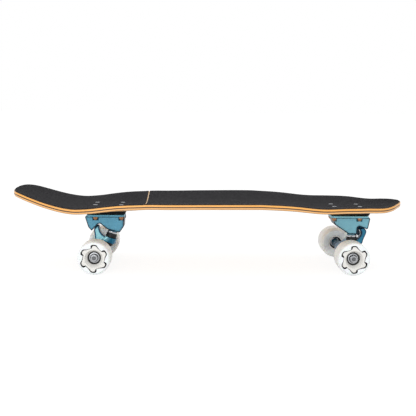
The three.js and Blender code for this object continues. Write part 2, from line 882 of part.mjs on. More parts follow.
// Cuts the kingpin bore, the bushings' pockets and the axle bore, and adds the nose
function boreHanger(truck, body, nose) {
  const kingpin = placed(truck.ring, kingpinDirection(truck));
  const half = ringThickness / 2;
  const pocket = (profile) => {
    return solidOf(turned(profile, smallSides).scale(1, pocketStretchShare, 1).applyMatrix4(kingpin));
  };
  const bore = turned(ringProfile(0, ringBoreRadius, -half - overrun, half + overrun), smallSides);
  const upperRadius = bushingRadius + upperPocketRoom;
  const upper = pocket(ringProfile(0, upperRadius, half, seatHeight(truck) + overrun));
  const tipRadius = kingpinNutFlangeRadius + lowerPocketRoom;
  const lower = pocket([
    [0, kingpinLow - overrun],
    [tipRadius, kingpinLow - overrun],
    [tipRadius, kingpinNutHigh],
    [lowerBushingRadius + lowerPocketRoom, -half],
    [0, -half],
  ]);
  const axleBore = turned(ringProfile(0, axleRadius + gap, -hangerWidth, hangerWidth), smallSides);
  axleBore.rotateX(Math.PI / 2).translate(truck.axle.x, truck.axle.y, truck.axle.z);
  return body
    .subtract(solidOf(bore.applyMatrix4(kingpin)))
    .subtract(upper)
    .subtract(lower)
    .subtract(solidOf(axleBore))
    .add(nose);
}

// Kingpin about +Z, counted from the ring's middle
function makeKingpin(truck) {
  const top = kingpinTop(truck);
  const profile = [
    [0, kingpinLow],
    [kingpinRadius, kingpinLow],
    [kingpinRadius, top - kingpinHeadHeight],
    [kingpinHeadRadius, top - kingpinHeadHeight],
    [kingpinHeadRadius, top],
    [0, top],
  ];
  return turned(profile, smallSides);
}

// Bushing between the ring and the base, wider at the ring
function upperBushing(truck) {
  const bore = kingpinRadius + gap;
  const high = upperBushingLow + truck.upperBushingHeight;
  const profile = [
    [bore, upperBushingLow],
    [bushingRadius, upperBushingLow],
    [bushingSeatRadius, high],
    [bore, high],
    [bore, upperBushingLow],
  ];
  return turned(profile, smallSides);
}

// Cone bushing below the ring
function lowerBushing() {
  const bore = kingpinRadius + gap;
  const low = lowerBushingHigh - lowerBushingHeight;
  const profile = [
    [bore, low],
    [lowerBushingTipRadius, low],
    [lowerBushingRadius, lowerBushingHigh],
    [bore, lowerBushingHigh],
    [bore, low],
  ];
  return turned(profile, smallSides);
}

// Cup washer between the upper bushing and the base, with a lip round the bushing's end
function upperWasher(truck) {
  const bore = kingpinRadius + gap;
  const low = upperWasherLow(truck);
  const lipRadius = (bushingSeatRadius + upperWasherRadius) / 2;
  const profile = [
    [bore, low],
    [lipRadius, low],
    [lipRadius, low - upperWasherLip],
    [upperWasherRadius, low - upperWasherLip],
    [upperWasherRadius, low + upperWasherThickness],
    [bore, low + upperWasherThickness],
    [bore, low],
  ];
  return turned(profile, smallSides);
}

// Flanged nut that holds the lower bushing
function kingpinNut() {
  const bore = kingpinRadius + gap;
  const low = kingpinNutHigh - kingpinNutFlange;
  const flange = solidOf(turned(ringProfile(bore, kingpinNutFlangeRadius, low, kingpinNutHigh), smallSides));
  const hex = hexNut(kingpinNutWidth, kingpinNutHeight + kingpinNutFlange / 2, bore);
  const stem = hex.translate(0, 0, low - kingpinNutHeight);
  return geometryOf(flange.add(solidOf(stem)));
}

// Base, hanger and the pieces on the kingpin of one truck
function addTruckPieces(group, truck) {
  const onKingpin = placed(truck.ring, kingpinDirection(truck));
  const onSteer = placed(truck.ring, steerDirection(truck));
  const end = truck.end;
  addPiece(group, `truck_base_${end}`, geometryOf(makeBase(truck)), satinBlue);
  addPiece(group, `riser_${end}`, geometryOf(makeRiser(truck)), blackRubber);
  addPiece(group, `pivot_cup_${end}`, pivotCup(truck), bushingBlack, onSteer);
  addPiece(group, `hanger_${end}`, geometryOf(makeHanger(truck)), deepBlue);
  addPiece(group, `kingpin_${end}`, makeKingpin(truck), steel, onKingpin);
  addPiece(group, `bushing_upper_${end}`, upperBushing(truck), bushingBlack, onKingpin);
  addPiece(group, `bushing_lower_${end}`, lowerBushing(), bushingBlack, onKingpin);
  addPiece(group, `washer_upper_${end}`, upperWasher(truck), steel, onKingpin);
  addPiece(group, `kingpin_nut_${end}`, kingpinNut(), steel, onKingpin);
}

// Bolts and nuts that hold a truck to the deck
function addFasteners(group, truck) {
  const headTop = truck.padHeight - truck.baseTop + gap + gripThickness;
  const length = headTop + flangeThickness + gap + nutHeight + boltTail;
  boltPlaces().forEach((bolt, index) => {
    const head = new THREE.Matrix4().makeTranslation(bolt.x, bolt.y, headTop);
    const nut = new THREE.Matrix4().makeTranslation(bolt.x, bolt.y, -flangeThickness - gap - nutHeight);
    addPiece(group, `deck_bolt_${truck.end}_${index + 1}`, deckBolt(length), steel, head);
    const hex = hexNut(nutWidth, nutHeight, boltDiameter / 2 + gap);
    addPiece(group, `deck_nut_${truck.end}_${index + 1}`, hex, copperGold, nut);
  });
}

// Lobed outline from a table of one lobe, grown by a margin
function lobedShape(shares, grow, turnDegrees) {
  const start = Math.PI / 2 - THREE.MathUtils.degToRad(turnDegrees);
  const points = [];
  for (let lobe = 0; lobe < lobeCount; lobe += 1) {
    shares.forEach(([place, swing]) => {
      const angle = start + (2 * Math.PI * (lobe + place - lobeTipPlaceShare)) / lobeCount;
      const radius = lobeValleyRadius + (lobeTipRadius - lobeValleyRadius) * swing + grow;
      points.push(new THREE.Vector2(radius * Math.cos(angle), radius * Math.sin(angle)));
    });
  }
  return new THREE.Shape(points);
}

// Tyre about +Z, with its outer face up and a pocket for the core's lobes
function makeTyre(turnDegrees) {
  const half = wheelWidth / 2;
  const flatRadius = 1 / Math.cos(Math.PI / wheelSides);
  const hole = coreRadius + gap;
  const profile = [
    [hole, hubFaceSink - half],
    [innerFaceRadius, innerFaceSink - half],
    [lipRadius, -half],
    [shoulderRadius, -shoulderWidth / 2],
    [sideRadius, -sideWidth / 2],
    [wheelRadius * flatRadius, -treadWidth / 2],
    [wheelRadius * flatRadius, treadWidth / 2],
    [sideRadius, sideWidth / 2],
    [shoulderRadius, shoulderWidth / 2],
    [lipRadius, half],
    [hole, half - outerFaceSink],
    [hole, hubFaceSink - half],
  ];
  const tyre = solidOf(turned(profile, wheelSides).rotateZ(Math.PI / wheelSides));
  const floor = half - coreFaceSink - lobeDepth - gap;
  const options = { depth: wheelWidth, bevelEnabled: false };
  const pocket = new THREE.ExtrudeGeometry(lobedShape(lobePocketShares, lobeGroove, turnDegrees), options);
  return geometryOf(tyre.subtract(solidOf(pocket.translate(0, 0, floor))));
}

// Core about +Z, with the bearing seats and the lobed outer plate
function makeCore(turnDegrees) {
  const half = wheelWidth / 2;
  const face = half - coreFaceSink;
  const seat = bearingRadius + gap;
  const stop = bearingSpacing / 2 - gap;
  const mouth = bearingSpacing / 2 + bearingWidth;
  const inside = bearingRadius - bearingShoulder;
  const profile = [
    [coreBoreRadius, hubFaceSink - half],
    [coreRadius, hubFaceSink - half],
    [coreRadius, face],
    [coreBoreRadius, face],
    [coreBoreRadius, mouth],
    [seat, mouth],
    [seat, stop],
    [inside, stop],
    [inside, -stop],
    [seat, -stop],
    [seat, -mouth],
    [coreBoreRadius, -mouth],
    [coreBoreRadius, hubFaceSink - half],
  ];
  const barrel = solidOf(turned(profile, coreSides));
  const shape = lobedShape(lobeShares, 0, turnDegrees);
  const middle = (coreRadius + coreBoreRadius) / 2;
  shape.holes.push(new THREE.Path().absarc(0, 0, middle, 0, 2 * Math.PI, true));
  const options = { depth: lobeDepth, bevelEnabled: false, curveSegments: coreSides / 2 };
  const plate = new THREE.ExtrudeGeometry(shape, options).translate(0, 0, face - lobeDepth);
  return geometryOf(barrel.add(solidOf(plate)));
}

// Wheel with its bearings and nut, turned so that its outer face looks away from the truck
function addWheel(group, truck, side) {
  const world = side * truck.facing > 0 ? "far" : "near";
  const label = `${truck.end}_${world}`;
  const turn = truck.lobeTurnDegrees * (world === "near" ? 1 : -1);
  const wheel = new THREE.Group();
  wheel.position.set(truck.axle.x, side * wheelPlace, truck.axle.z);
  wheel.rotation.set(side > 0 ? -Math.PI / 2 : Math.PI / 2, 0, 0);
  group.add(wheel);
  addPiece(wheel, `tyre_${label}`, makeTyre(turn), urethane);
  addPiece(wheel, `wheel_core_${label}`, makeCore(turn), coreWhite);
  const bore = axleRadius + gap;
  const [low, high] = [bearingSpacing / 2, bearingSpacing / 2 + bearingWidth];
  const ring = (from, to) => turned(ringProfile(bore, bearingRadius, from, to), smallSides);
  addPiece(wheel, `bearing_outer_${label}`, ring(low, high), steel);
  addPiece(wheel, `bearing_inner_${label}`, ring(-high, -low), steel);
  const nutPlace = new THREE.Matrix4().makeTranslation(0, 0, high + speedWasherThickness + gap);
  addPiece(wheel, `axle_nut_${label}`, hexNut(axleNutWidth, axleNutHeight, bore), steel, nutPlace);
}

// Axle rod through the hanger and both wheels
function addAxle(group, truck) {
  const nutOuter = bearingSpacing / 2 + bearingWidth + speedWasherThickness + gap + axleNutHeight;
  const half = wheelPlace + nutOuter + axleTip;
  const shape = turned(ringProfile(0, axleRadius, -half, half), smallSides).rotateX(Math.PI / 2);
  addPiece(group, `axle_${truck.end}`, shape, steel, new THREE.Matrix4().setPosition(truck.axle));
}

// Whole truck, facing the nose or the tail
function makeTruck(truck) {
  const group = new THREE.Group();
  group.position.set(truck.boltPlace, 0, truck.baseTop);
  group.rotation.z = truck.facing > 0 ? 0 : Math.PI;
  addTruckPieces(group, truck);
  addFasteners(group, truck);
  addAxle(group, truck);
  [1, -1].forEach((side) => addWheel(group, truck, side));
  return group;
}

const board = new THREE.Group();
addPiece(board, "deck", geometryOf(makeDeck()), maple);
const frontRows = deckRows.slice(deckRows.indexOf(slitFrontRow));
const tailRows = deckRows.slice(0, deckRows.indexOf(slitRearRow) + 1);
addPiece(board, "grip_tape_front", geometryOf(makeGrip(frontRows, trucks[0])), grip);
addPiece(board, "grip_tape_tail", geometryOf(makeGrip(tailRows, trucks[1])), grip);
trucks.forEach((truck) => board.add(makeTruck(truck)));

export default board;
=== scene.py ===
"""Surf skateboard: a maple deck with a kicked tail, on two carving trucks with four wide wheels."""

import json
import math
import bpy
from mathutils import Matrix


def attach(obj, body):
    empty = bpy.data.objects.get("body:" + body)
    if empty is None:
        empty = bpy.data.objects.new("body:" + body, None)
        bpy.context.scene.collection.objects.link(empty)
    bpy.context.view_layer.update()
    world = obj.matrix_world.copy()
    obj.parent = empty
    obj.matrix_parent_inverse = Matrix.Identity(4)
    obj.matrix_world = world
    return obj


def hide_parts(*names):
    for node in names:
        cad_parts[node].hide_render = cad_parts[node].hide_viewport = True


bl_info = {
    "name": "Surf skateboard",
    "version": (1, 0, 0),
    "blender": (4, 5, 0),
    "location": "View3D > Sidebar > Surf skateboard",
    "description": "Builds a surf skateboard with its trucks, wheels and studio",
    "category": "Add Mesh",
}

from types import SimpleNamespace

import bmesh
import bpy
import numpy as np
from bpy.props import FloatProperty, FloatVectorProperty, IntProperty, PointerProperty
from bpy.types import Operator, Panel, PropertyGroup
from mathutils import Matrix, Vector

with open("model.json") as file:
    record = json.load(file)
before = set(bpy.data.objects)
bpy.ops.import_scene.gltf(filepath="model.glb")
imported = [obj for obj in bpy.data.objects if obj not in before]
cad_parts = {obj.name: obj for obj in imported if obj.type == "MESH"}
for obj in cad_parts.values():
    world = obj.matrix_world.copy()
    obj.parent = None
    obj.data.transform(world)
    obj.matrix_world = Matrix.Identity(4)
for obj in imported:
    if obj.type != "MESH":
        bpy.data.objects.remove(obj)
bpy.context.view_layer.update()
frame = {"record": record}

# Shapes are drawn in millimetres, and pieces are placed in metres
MM = 0.001
UP = Vector((0, 0, 1))
ENDS = ("front", "rear")
SIDES = {"far": 1, "near": -1}

# Plan outline from the tail tip to the nose tip: place along half the length, half width
PLAN_SHARES = (
    (-1, 0.05), (-0.9973, 0.185), (-0.9891, 0.385), (-0.9753, 0.514), (-0.9555, 0.597),
    (-0.9281, 0.664), (-0.8908, 0.717), (-0.8439, 0.762), (-0.7747, 0.806), (-0.6757, 0.864),
    (-0.5767, 0.903), (-0.4535, 0.932), (-0.2554, 0.959), (-0.0089, 0.989), (0.176, 1),
    (0.3003, 0.978), (0.4235, 0.961), (0.5347, 0.943), (0.5842, 0.918), (0.6832, 0.862),
    (0.7317, 0.838), (0.7811, 0.784), (0.8308, 0.702), (0.8802, 0.608), (0.9296, 0.474),
    (0.9541, 0.362), (0.9785, 0.2366), (0.9933, 0.119), (1, 0.035),
)

# Concave along the deck: place along half the length, share of the deepest concave
CONCAVE_SHARES = (
    (-1, 0.08), (-0.949, 0.28), (-0.898, 0.31), (-0.797, 0.25), (-0.696, 0.215), (-0.656, 0.23),
    (-0.592, 0.377), (-0.525, 0.66), (-0.459, 0.9), (-0.404, 1), (-0.38, 0.95), (-0.33, 0.785),
    (-0.268, 0.62), (-0.009, 0.7), (0.234, 0.748), (0.3, 0.673), (0.424, 0.66), (0.535, 0.58),
    (0.646, 0.638), (0.708, 0.646), (0.777, 0.615), (0.83, 0.5), (0.88, 0.415), (0.955, 0.37),
    (1, 0.08),
)

# Outlines of the core's plate and of its pocket over one lobe, anticlockwise from the foot of its
# gentle side, seen from outside: share of the lobe, share of the way from valley to tip
LOBE_SHARES = (
    (0, 0.08), (0.083, 0.15), (0.167, 0.28), (0.25, 0.5), (0.32, 0.72), (0.39, 0.83), (0.458, 0.86),
    (0.5, 0.86), (0.55, 0.81), (0.604, 0.64), (0.645, 0.34), (0.675, 0.06), (0.7, 0.02),
    (0.8, 0), (0.9, 0.03),
)
POCKET_SHARES = (
    (0, 0.18), (0.083, 0.3), (0.167, 0.52), (0.25, 0.83), (0.32, 1.08), (0.39, 1.17), (0.458, 1.2),
    (0.5, 1.2), (0.55, 1.2), (0.604, 1.18), (0.645, 1.12), (0.675, 1.03), (0.7, 0.93), (0.729, 0.77),
    (0.75, 0.48), (0.7625, 0.13), (0.8, 0.08), (0.9, 0.11),
)

# Place of the tip on its lobe, as a share of the lobe
LOBE_TIP_PLACE = 0.52

# Grid step on faces that carry painted highlights and shade, and the distance over which an arm's
# painted highlight fades into the body's tone, in millimetres
TONE_STEP = 1.2
RIM_FADE = 7

# Play round pins, floor and wall of the pivot cups, height of the lock nuts and length of the
# thread's tip past them, in millimetres
PLAY = 0.3
CUP_FLOOR, CUP_WALL = 7.3, 1.3
NUT_HEIGHT, THREAD_TIP = 6, 1.5

# Radii of the holes for the deck bolts, and the height of the tape's top over the wood,
# in millimetres
HEAD_HOLE, SHANK_HOLE = 5.05, 2.6
TAPE_TOP = 1.3

# Angle from which an edge is sharp, in degrees
SHARP = 38

# Sockets of a colour mix: its factor, its two colours and its result
MIX_FACTOR, MIX_FIRST, MIX_SECOND, MIX_RESULT = 0, 6, 7, 2
WHITE = (1, 1, 1, 1)

# Each truck in its own frame: outward from the middle of its bolts, and up from its base's top
TRUCKS = {
    "front": SimpleNamespace(
        facing=1, bolt_place=288.2, base_top=108.1, inner=33, outer=50.4, height=40, riser=7.4,
        axle=(-3.1, -75), ring=(15.8, -60), steer_degrees=58.5, reach=39,
        lean_degrees=1, upper_bushing=8.6, lobe_turn_degrees=-4.2,
        base_shares=(
            (0.007, 0.08), (0.03, 0.2), (0.102, 0.505), (0.456, 1),
            (0.667, 1), (0.95, 0.705), (1, 0.18), (0.964, 0.08),
        ),
        notch_shares=((0.667, 1.15), (0.677, 0.657), (0.717, 0.58), (0.903, 0.715), (1.043, 1.15)),
        # Outline, as shares, of the thin dark web that stands in for the shade inside the notch
        web_shares=(
            (0.655, 1.09), (0.655, 0.56), (0.735, 0.56), (0.8, 0.62), (0.795, 0.66), (0.762, 0.74),
            (0.757, 0.78), (0.795, 0.93), (0.79, 1.07), (0.762, 1.15), (0.735, 1.15), (0.72, 1.09),
        ),
        arm_shares=(
            (0.84, -0.03), (0.99, 0.05), (1.01, 0.2), (0.92, 0.35), (0.5, 0.44),
            (0.2, 0.5), (0.01, 0.36), (-0.19, 0), (-0.24, -0.24), (-0.05, -0.32),
            (0.14, -0.02), (0.28, 0.11), (0.44, 0.17), (0.61, 0.18), (0.75, 0.11),
        ),
    ),
    "rear": SimpleNamespace(
        facing=-1, bolt_place=-212.4, base_top=107.9, inner=33.5, outer=49.1, height=38.8, riser=8.4,
        axle=(20, -74.8), ring=(-1.4, -56.2), steer_degrees=45, reach=42,
        lean_degrees=18, upper_bushing=11.4, lobe_turn_degrees=0,
        base_shares=(
            (0.006, 0.08), (0.011, 0.229), (0.023, 0.683), (0.127, 1), (0.431, 0.822),
            (0.836, 0.91), (0.919, 0.709), (1, 0.165), (0.969, 0.08),
        ),
        notch_shares=(
            (0.425, 0.84), (0.618, 0.51), (0.676, 0.546), (0.768, 0.766),
            (0.842, 0.92), (0.839, 1.186), (0.423, 1.186),
        ),
        web_shares=(),
        arm_shares=(
            (0.9, -0.13), (0.96, -0.06), (0.96, 0.13), (0.92, 0.21), (0.72, 0.36),
            (0.54, 0.53), (0.3, 0.7), (0.04, 0.54), (-0.11, 0.15), (-0.18, -0.08),
            (0.06, -0.11), (0.26, 0.02), (0.45, 0.06), (0.68, 0.01),
        ),
    ),
}


def size(name, description, millimetres):
    """Length property, shown in the scene's unit"""
    return FloatProperty(
        name=name, description=description, default=millimetres * MM, unit="LENGTH", precision=4
    )


def colour(name, description, red, green, blue):
    """Colour property, given as it looks on a screen from 0 to 255"""

    def linear(value):
        share = value / 255
        return share / 12.92 if share <= 0.04045 else ((share + 0.055) / 1.055) ** 2.4

    shade = (linear(red), linear(green), linear(blue))
    return FloatVectorProperty(
        name=name, description=description, default=shade, size=3, subtype="COLOR", min=0, max=1
    )


def share(name, description, value):
    """Plain share or strength"""
    return FloatProperty(name=name, description=description, default=value, min=0)


class SurfDeckSizes(PropertyGroup):
    """Sizes of the deck and its grip tape"""

    length: size("Length", "Deck from tail tip to nose tip", 809.6)
    width: size("Width", "Deck at its widest", 260.4)
    wood: size("Wood thickness", "Thickness of the pressed plies", 10)
    rail: size("Rail rounding", "Rounding of the deck's edge", 2)
    concave: size("Concave", "How far the rails stand above the middle at the deepest place", 13)
    flat: size("Flat half width", "Half of the flat band along the middle", 28.5)
    mid_rise: size("Middle rise", "Rise of the middle above the rear pad", 6.8)
    rear_pad: size("Rear pad height", "Height of the wood's top over the rear truck", 126.9)
    front_pad: size("Front pad height", "Height of the wood's top over the front truck", 126.1)
    nose_rise: size("Nose rise", "Rise of the nose tip above the front pad", 11.1)
    kick_blend: size("Tail kick blend", "Length over which the tail bends up", 64)
    tape: size("Tape thickness", "Thickness of the grip tape", 1.25)
    tape_edge: size("Tape edge", "Width of the tape's worn edge", 0.6)
    slit_place: size("Slit place", "Place of the bare slit along the deck", -133.6)
    slit_width: size("Slit width", "Width of the bare slit", 2.7)


class SurfTruckSizes(PropertyGroup):
    """Sizes that both trucks share"""

    base_width: size("Base width", "Width of the base's flange", 56)
    body_width: size("Body width", "Width of the base's body under the flange", 40)
    base_bevel: size("Base bevel", "Bevel round the base's side faces", 3.2)
    # The web is a thin dark sheet that stands in for the shade inside the front base's notch
    web: size("Web thickness", "Thickness of the web in the front base's notch", 2)
    flange: size("Flange thickness", "Thickness of the base's flange", 5)
    flange_corner: size("Flange corner", "Rounding of the flange's corners", 12)
    flange_chamfer: size("Flange chamfer", "Slope at the flange's outer end", 3.8)
    riser_flare: size("Riser flare", "How far the riser widens upwards", 2.5)
    riser_overhang: size("Riser overhang", "How far the riser stands out past the flange", 1)
    riser_corner: size("Riser corner", "Rounding of the riser's corners", 8)
    bolt_long: size("Bolt spacing along", "Bolt spacing along the deck", 53.98)
    bolt_wide: size("Bolt spacing across", "Bolt spacing across the deck", 41.28)
    hanger: size("Hanger width", "Width of the hanger between the wheels", 165)
    beam: size("Beam radius", "Radius of the hanger's beam at its middle", 14)
    beam_neck: size("Beam neck radius", "Radius of the beam towards the wheels", 9.2)
    beam_end: size("Beam end radius", "Radius of the beam at its ends", 8.5)
    arm: size("Arm thickness", "Thickness of the hanger's arm", 16)
    ring: size("Ring radius", "Radius of the ring round the kingpin", 13.5)
    ring_width: size("Ring thickness", "Thickness of that ring", 10.6)
    kingpin: size("Kingpin radius", "Radius of the kingpin", 4.75)
    bushing: size("Bushing radius", "Radius of the bushings at the ring", 11.6)


class SurfWheelSizes(PropertyGroup):
    """Sizes of the wheels and their bearings"""

    diameter: size("Diameter", "Diameter of the wheel", 66.2)
    width: size("Width", "Width of the wheel", 51)
    tread: size("Tread width", "Flat width of the tread", 31.4)
    tip: size("Lobe tip radius", "Radius of the core at the tips of its lobes", 26.8)
    valley: size("Valley radius", "Radius of the core between its lobes", 21)
    groove: size("Groove", "Least gap between the core and the tyre", 0.15)
    bore: size("Bore radius", "Radius of the core's mouth", 13.4)
    bearing: size("Bearing radius", "Outer radius of the bearings", 11)
    bearing_width: size("Bearing width", "Width of the bearings", 7)
    spacing: size("Bearing spacing", "Distance between the bearings", 10)
    axle: size("Axle radius", "Radius of the axle", 4)
    place: size("Wheel place", "Distance of the wheel's middle from the board's middle", 95.8)
    lobes: IntProperty(name="Lobes", description="Number of lobes on the core", default=6, min=3)


class SurfColours(PropertyGroup):
    """Colours of the finishes"""

    grip: colour("Grip tape", "Grit of the tape", 46, 45, 48)
    veneer: colour("Veneer", "Faces of the maple", 232, 190, 132)
    top_plies: colour("Upper plies", "Plies above the dark one", 240, 174, 82)
    dark_ply: colour("Dark ply", "Ply in the middle of the edge", 44, 24, 14)
    low_plies: colour("Lower plies", "Plies under the dark one", 232, 178, 114)
    # The two bases are lit and shaded copies of one blue: painted light makes the front one paler,
    # painted shade makes the rear one deeper
    base_front: colour("Front base", "Satin blue of the front base", 126, 186, 204)
    base_rear: colour("Rear base", "Satin blue of the rear base", 90, 156, 184)
    # Colour of the dark web that stands in for the shade inside the front base's notch
    web: colour("Web", "Deep blue of the web in the front base's notch", 10, 32, 46)
    # Painted shade along the rims of the bases, and painted shadow under their flanges
    painted_base_rim_shade: colour("Base rims", "Deeper blue along the rims of the bases", 12, 48, 68)
    # The two hangers are lit and shaded copies of one blue; each arm has a painted highlight along
    # its middle and painted shade along its rims
    hanger_front: colour("Front hanger", "Deeper blue of the front hanger", 30, 96, 130)
    hanger_rear: colour("Rear hanger", "Deeper blue of the rear hanger", 12, 108, 146)
    painted_highlight_front_arm: colour("Front arm", "Lighter middle of the front arm", 34, 120, 152)
    painted_highlight_rear_arm: colour("Rear arm", "Lighter middle of the rear arm", 170, 240, 255)
    painted_arm_rim_shade: colour("Hanger rims", "Deepest blue along the rims of the arms", 4, 50, 74)
    rubber: colour("Riser rubber", "Black rubber of the risers", 10, 10, 11)
    bushing: colour("Bushing", "Black urethane of the bushings", 26, 26, 28)
    steel: colour("Steel", "Bolts, nuts, washers and axles", 190, 192, 196)
    copper: colour("Nut plating", "Copper gold of the deck nuts", 160, 118, 86)
    urethane: colour("Urethane", "Pale tyre", 238, 243, 245)
    core: colour("Core", "White plate of the core", 228, 227, 223)
    # Painted shade in the grooves round the cores, in the tyres' pockets, in the bores and round the
    # bearing seats
    painted_recess_shade: colour("Core sleeve", "Dark grooves and bearing seat", 18, 17, 16)


class SurfStageSettings(PropertyGroup):
    """Camera, floor and light"""

    focal: FloatProperty(name="Lens", description="Focal length", default=66.9, min=1)
    camera_place: FloatVectorProperty(
        name="Camera place",
        description="Where the camera stands",
        default=(-0.05414, -1.62303, 0.33635),
        subtype="TRANSLATION",
        unit="LENGTH",
        precision=4,
    )
    yaw: FloatProperty(
        name="Yaw", description="Turn towards the nose", default=0.03087, unit="ROTATION"
    )
    pitch: FloatProperty(
        name="Pitch", description="Tilt downwards", default=0.13267, unit="ROTATION"
    )
    roll: FloatProperty(
        name="Roll", description="Turn about the view's line", default=0.00997, unit="ROTATION"
    )
    world: share("Ambient light", "Strength of the light from all round", 0.9)
    key: share("Key light", "Power of the softbox in front, in watts", 16)
    top: share("Top light", "Power of the softbox above, in watts", 8)
    floor: share("Floor shade", "How pale the floor is", 0.9)
    floor_glow: share("Floor veil", "Share of the floor that shows as the background", 0.8)


def in_mm(sizes):
    """A group's lengths in millimetres, and its counts as they are"""
    values = {}
    for name in sizes.__annotations__:
        value = getattr(sizes, name)
        values[name] = value if isinstance(value, int) else value / MM
    return SimpleNamespace(**values)


# Tables and curves


def smooth_step(value):
    """Smooth step from 0 to 1"""
    held = min(max(value, 0), 1)
    return held * held * (3 - 2 * held)


def table_value(table, place):
    """Value of a table of places and values, with smooth joins between its rows"""
    last = len(table) - 1
    row = 0
    while row < last - 1 and table[row + 1][0] < place:
        row += 1

    def slope(index):
        before, after = table[max(index - 1, 0)], table[min(index + 1, last)]
        return (after[1] - before[1]) / (after[0] - before[0])

    (low, low_value), (high, high_value) = table[row], table[row + 1]
    span = high - low
    t = min(max((place - low) / span, 0), 1)
    start = low_value * (1 + 2 * t) * (1 - t) ** 2 + slope(row) * span * t * (1 - t) ** 2
    end = high_value * t * t * (3 - 2 * t) + slope(row + 1) * span * t * t * (t - 1)
    return start + end


def curve_through(points, steps, closed=False):
    """Smooth curve through points, as evenly many steps in each span"""
    count = len(points)
    spans = count if closed else count - 1

    def point(index):
        if closed:
            return Vector(points[index % count])
        if index < 0:
            return 2 * Vector(points[0]) - Vector(points[1])
        if index >= count:
            return 2 * Vector(points[-1]) - Vector(points[-2])
        return Vector(points[index])

    result = []
    for span in range(spans):
        a, b, c, d = (point(span + offset) for offset in (-1, 0, 1, 2))
        before, middle, after = ((q - p).length ** 0.5 for p, q in ((a, b), (b, c), (c, d)))
        start = ((b - a) / before - (c - a) / (before + middle) + (c - b) / middle) * middle
        end = ((c - b) / middle - (d - b) / (middle + after) + (d - c) / after) * middle
        for step in range(steps):
            t = step / steps
            square = (3 * c - 3 * b - 2 * start - end) * t * t
            result.append(b + start * t + square + (2 * b - 2 * c + start + end) * t**3)
    if not closed:
        result.append(point(count - 1))
    return result


def round_corners(points, radius, steps=4, closed=True):
    """Outline with each corner rounded"""
    result = []
    for index, place in enumerate(points):
        corner = Vector(place)
        if not closed and index in (0, len(points) - 1):
            result.append(corner)
            continue
        back = Vector(points[index - 1]) - corner
        onward = Vector(points[(index + 1) % len(points)]) - corner
        turn = back.angle(onward)
        if turn > math.radians(176):
            result.append(corner)
            continue
        reach = min(radius / math.tan(turn / 2), 0.45 * back.length, 0.45 * onward.length)
        start = corner + back.normalized() * reach
        end = corner + onward.normalized() * reach
        for step in range(steps + 1):
            t = step / steps
            result.append((1 - t) ** 2 * start + 2 * t * (1 - t) * corner + t * t * end)
    return result


# Mesh making


def revolve(profile, steps, closed=False):
    """Turned shape about +Z. A radius may be a function of the angle."""
    shape = bmesh.new()
    rings = []
    for radius, height in profile:
        if radius == 0:
            rings.append([shape.verts.new((0, 0, height))] * steps)
            continue
        ring = []
        for step in range(steps):
            angle = 2 * math.pi * step / steps
            reach = radius(angle) if callable(radius) else radius
            ring.append(shape.verts.new((reach * math.cos(angle), reach * math.sin(angle), height)))
        rings.append(ring)
    for low, high in zip(rings, rings[1:] + (rings[:1] if closed else [])):
        for step in range(steps):
            onward = (step + 1) % steps
            corners = dict.fromkeys((low[step], low[onward], high[onward], high[step]))
            if len(corners) > 2:
                shape.faces.new(tuple(corners))
    bmesh.ops.recalc_face_normals(shape, faces=shape.faces)
    return shape


def plate(outline, thickness, bevel, steps=3):
    """Outline in X and Z, thickened to both sides of Y, with rounded rims"""
    shape = bmesh.new()
    near = shape.faces.new([shape.verts.new((x, -thickness / 2, z)) for x, z in outline])
    grown = bmesh.ops.extrude_face_region(shape, geom=[near])["geom"]
    moved = [part for part in grown if isinstance(part, bmesh.types.BMVert)]
    bmesh.ops.translate(shape, verts=moved, vec=(0, thickness, 0))
    bmesh.ops.recalc_face_normals(shape, faces=shape.faces)
    if bevel > 0:
        rims = [edge for edge in shape.edges if abs(edge.verts[0].co.y - edge.verts[1].co.y) < 1e-6]
        bmesh.ops.bevel(
            shape, geom=rims, offset=bevel, segments=steps, profile=0.5,
            affect="EDGES", clamp_overlap=True,
        )
    return shape


def moved(shape, matrix):
    """Shape after a move"""
    bmesh.ops.transform(shape, matrix=matrix, verts=shape.verts)
    return shape


def joined(shapes):
    """One mesh that holds several shapes"""
    mesh = bpy.data.meshes.new("joined")
    whole = bmesh.new()
    for shape in shapes:
        shape.to_mesh(mesh)
        whole.from_mesh(mesh)
        shape.free()
    bpy.data.meshes.remove(mesh)
    return whole


def placed(name, data, matrix=None):
    """New object in the scene, at its place"""
    thing = bpy.data.objects.new(name, data)
    bpy.context.scene.collection.objects.link(thing)
    if matrix:
        thing.matrix_world = matrix
    return thing


def piece(name, shape, material, matrix=None):
    """Object from a shape in millimetres, smooth but for its sharp edges"""
    mesh = bpy.data.meshes.new(name)
    bmesh.ops.scale(shape, vec=(MM, MM, MM), verts=shape.verts)
    shape.to_mesh(mesh)
    shape.free()
    for finish in material if isinstance(material, (list, tuple)) else [material]:
        mesh.materials.append(finish)
    mesh.shade_smooth()
    mesh.set_sharp_from_angle(angle=math.radians(SHARP))
    thing = placed(name, mesh, matrix)
    bpy.context.view_layer.update()
    return thing


def apply_modifiers(thing):
    """Keeps what an object's modifiers make, as its own mesh"""
    graph = bpy.context.evaluated_depsgraph_get()
    graph.update()
    made = bpy.data.meshes.new_from_object(thing.evaluated_get(graph))
    old = thing.data
    made.name = old.name
    thing.modifiers.clear()
    thing.data = made
    bpy.data.meshes.remove(old)


def cut(thing, cutter):
    """Cuts a shape, in millimetres, out of an object"""
    tool = piece("cutter", cutter, [])
    step = thing.modifiers.new("cut", "BOOLEAN")
    step.operation = "DIFFERENCE"
    step.solver = "EXACT"
    step.object = tool
    apply_modifiers(thing)
    mesh = tool.data
    bpy.data.objects.remove(tool)
    bpy.data.meshes.remove(mesh)


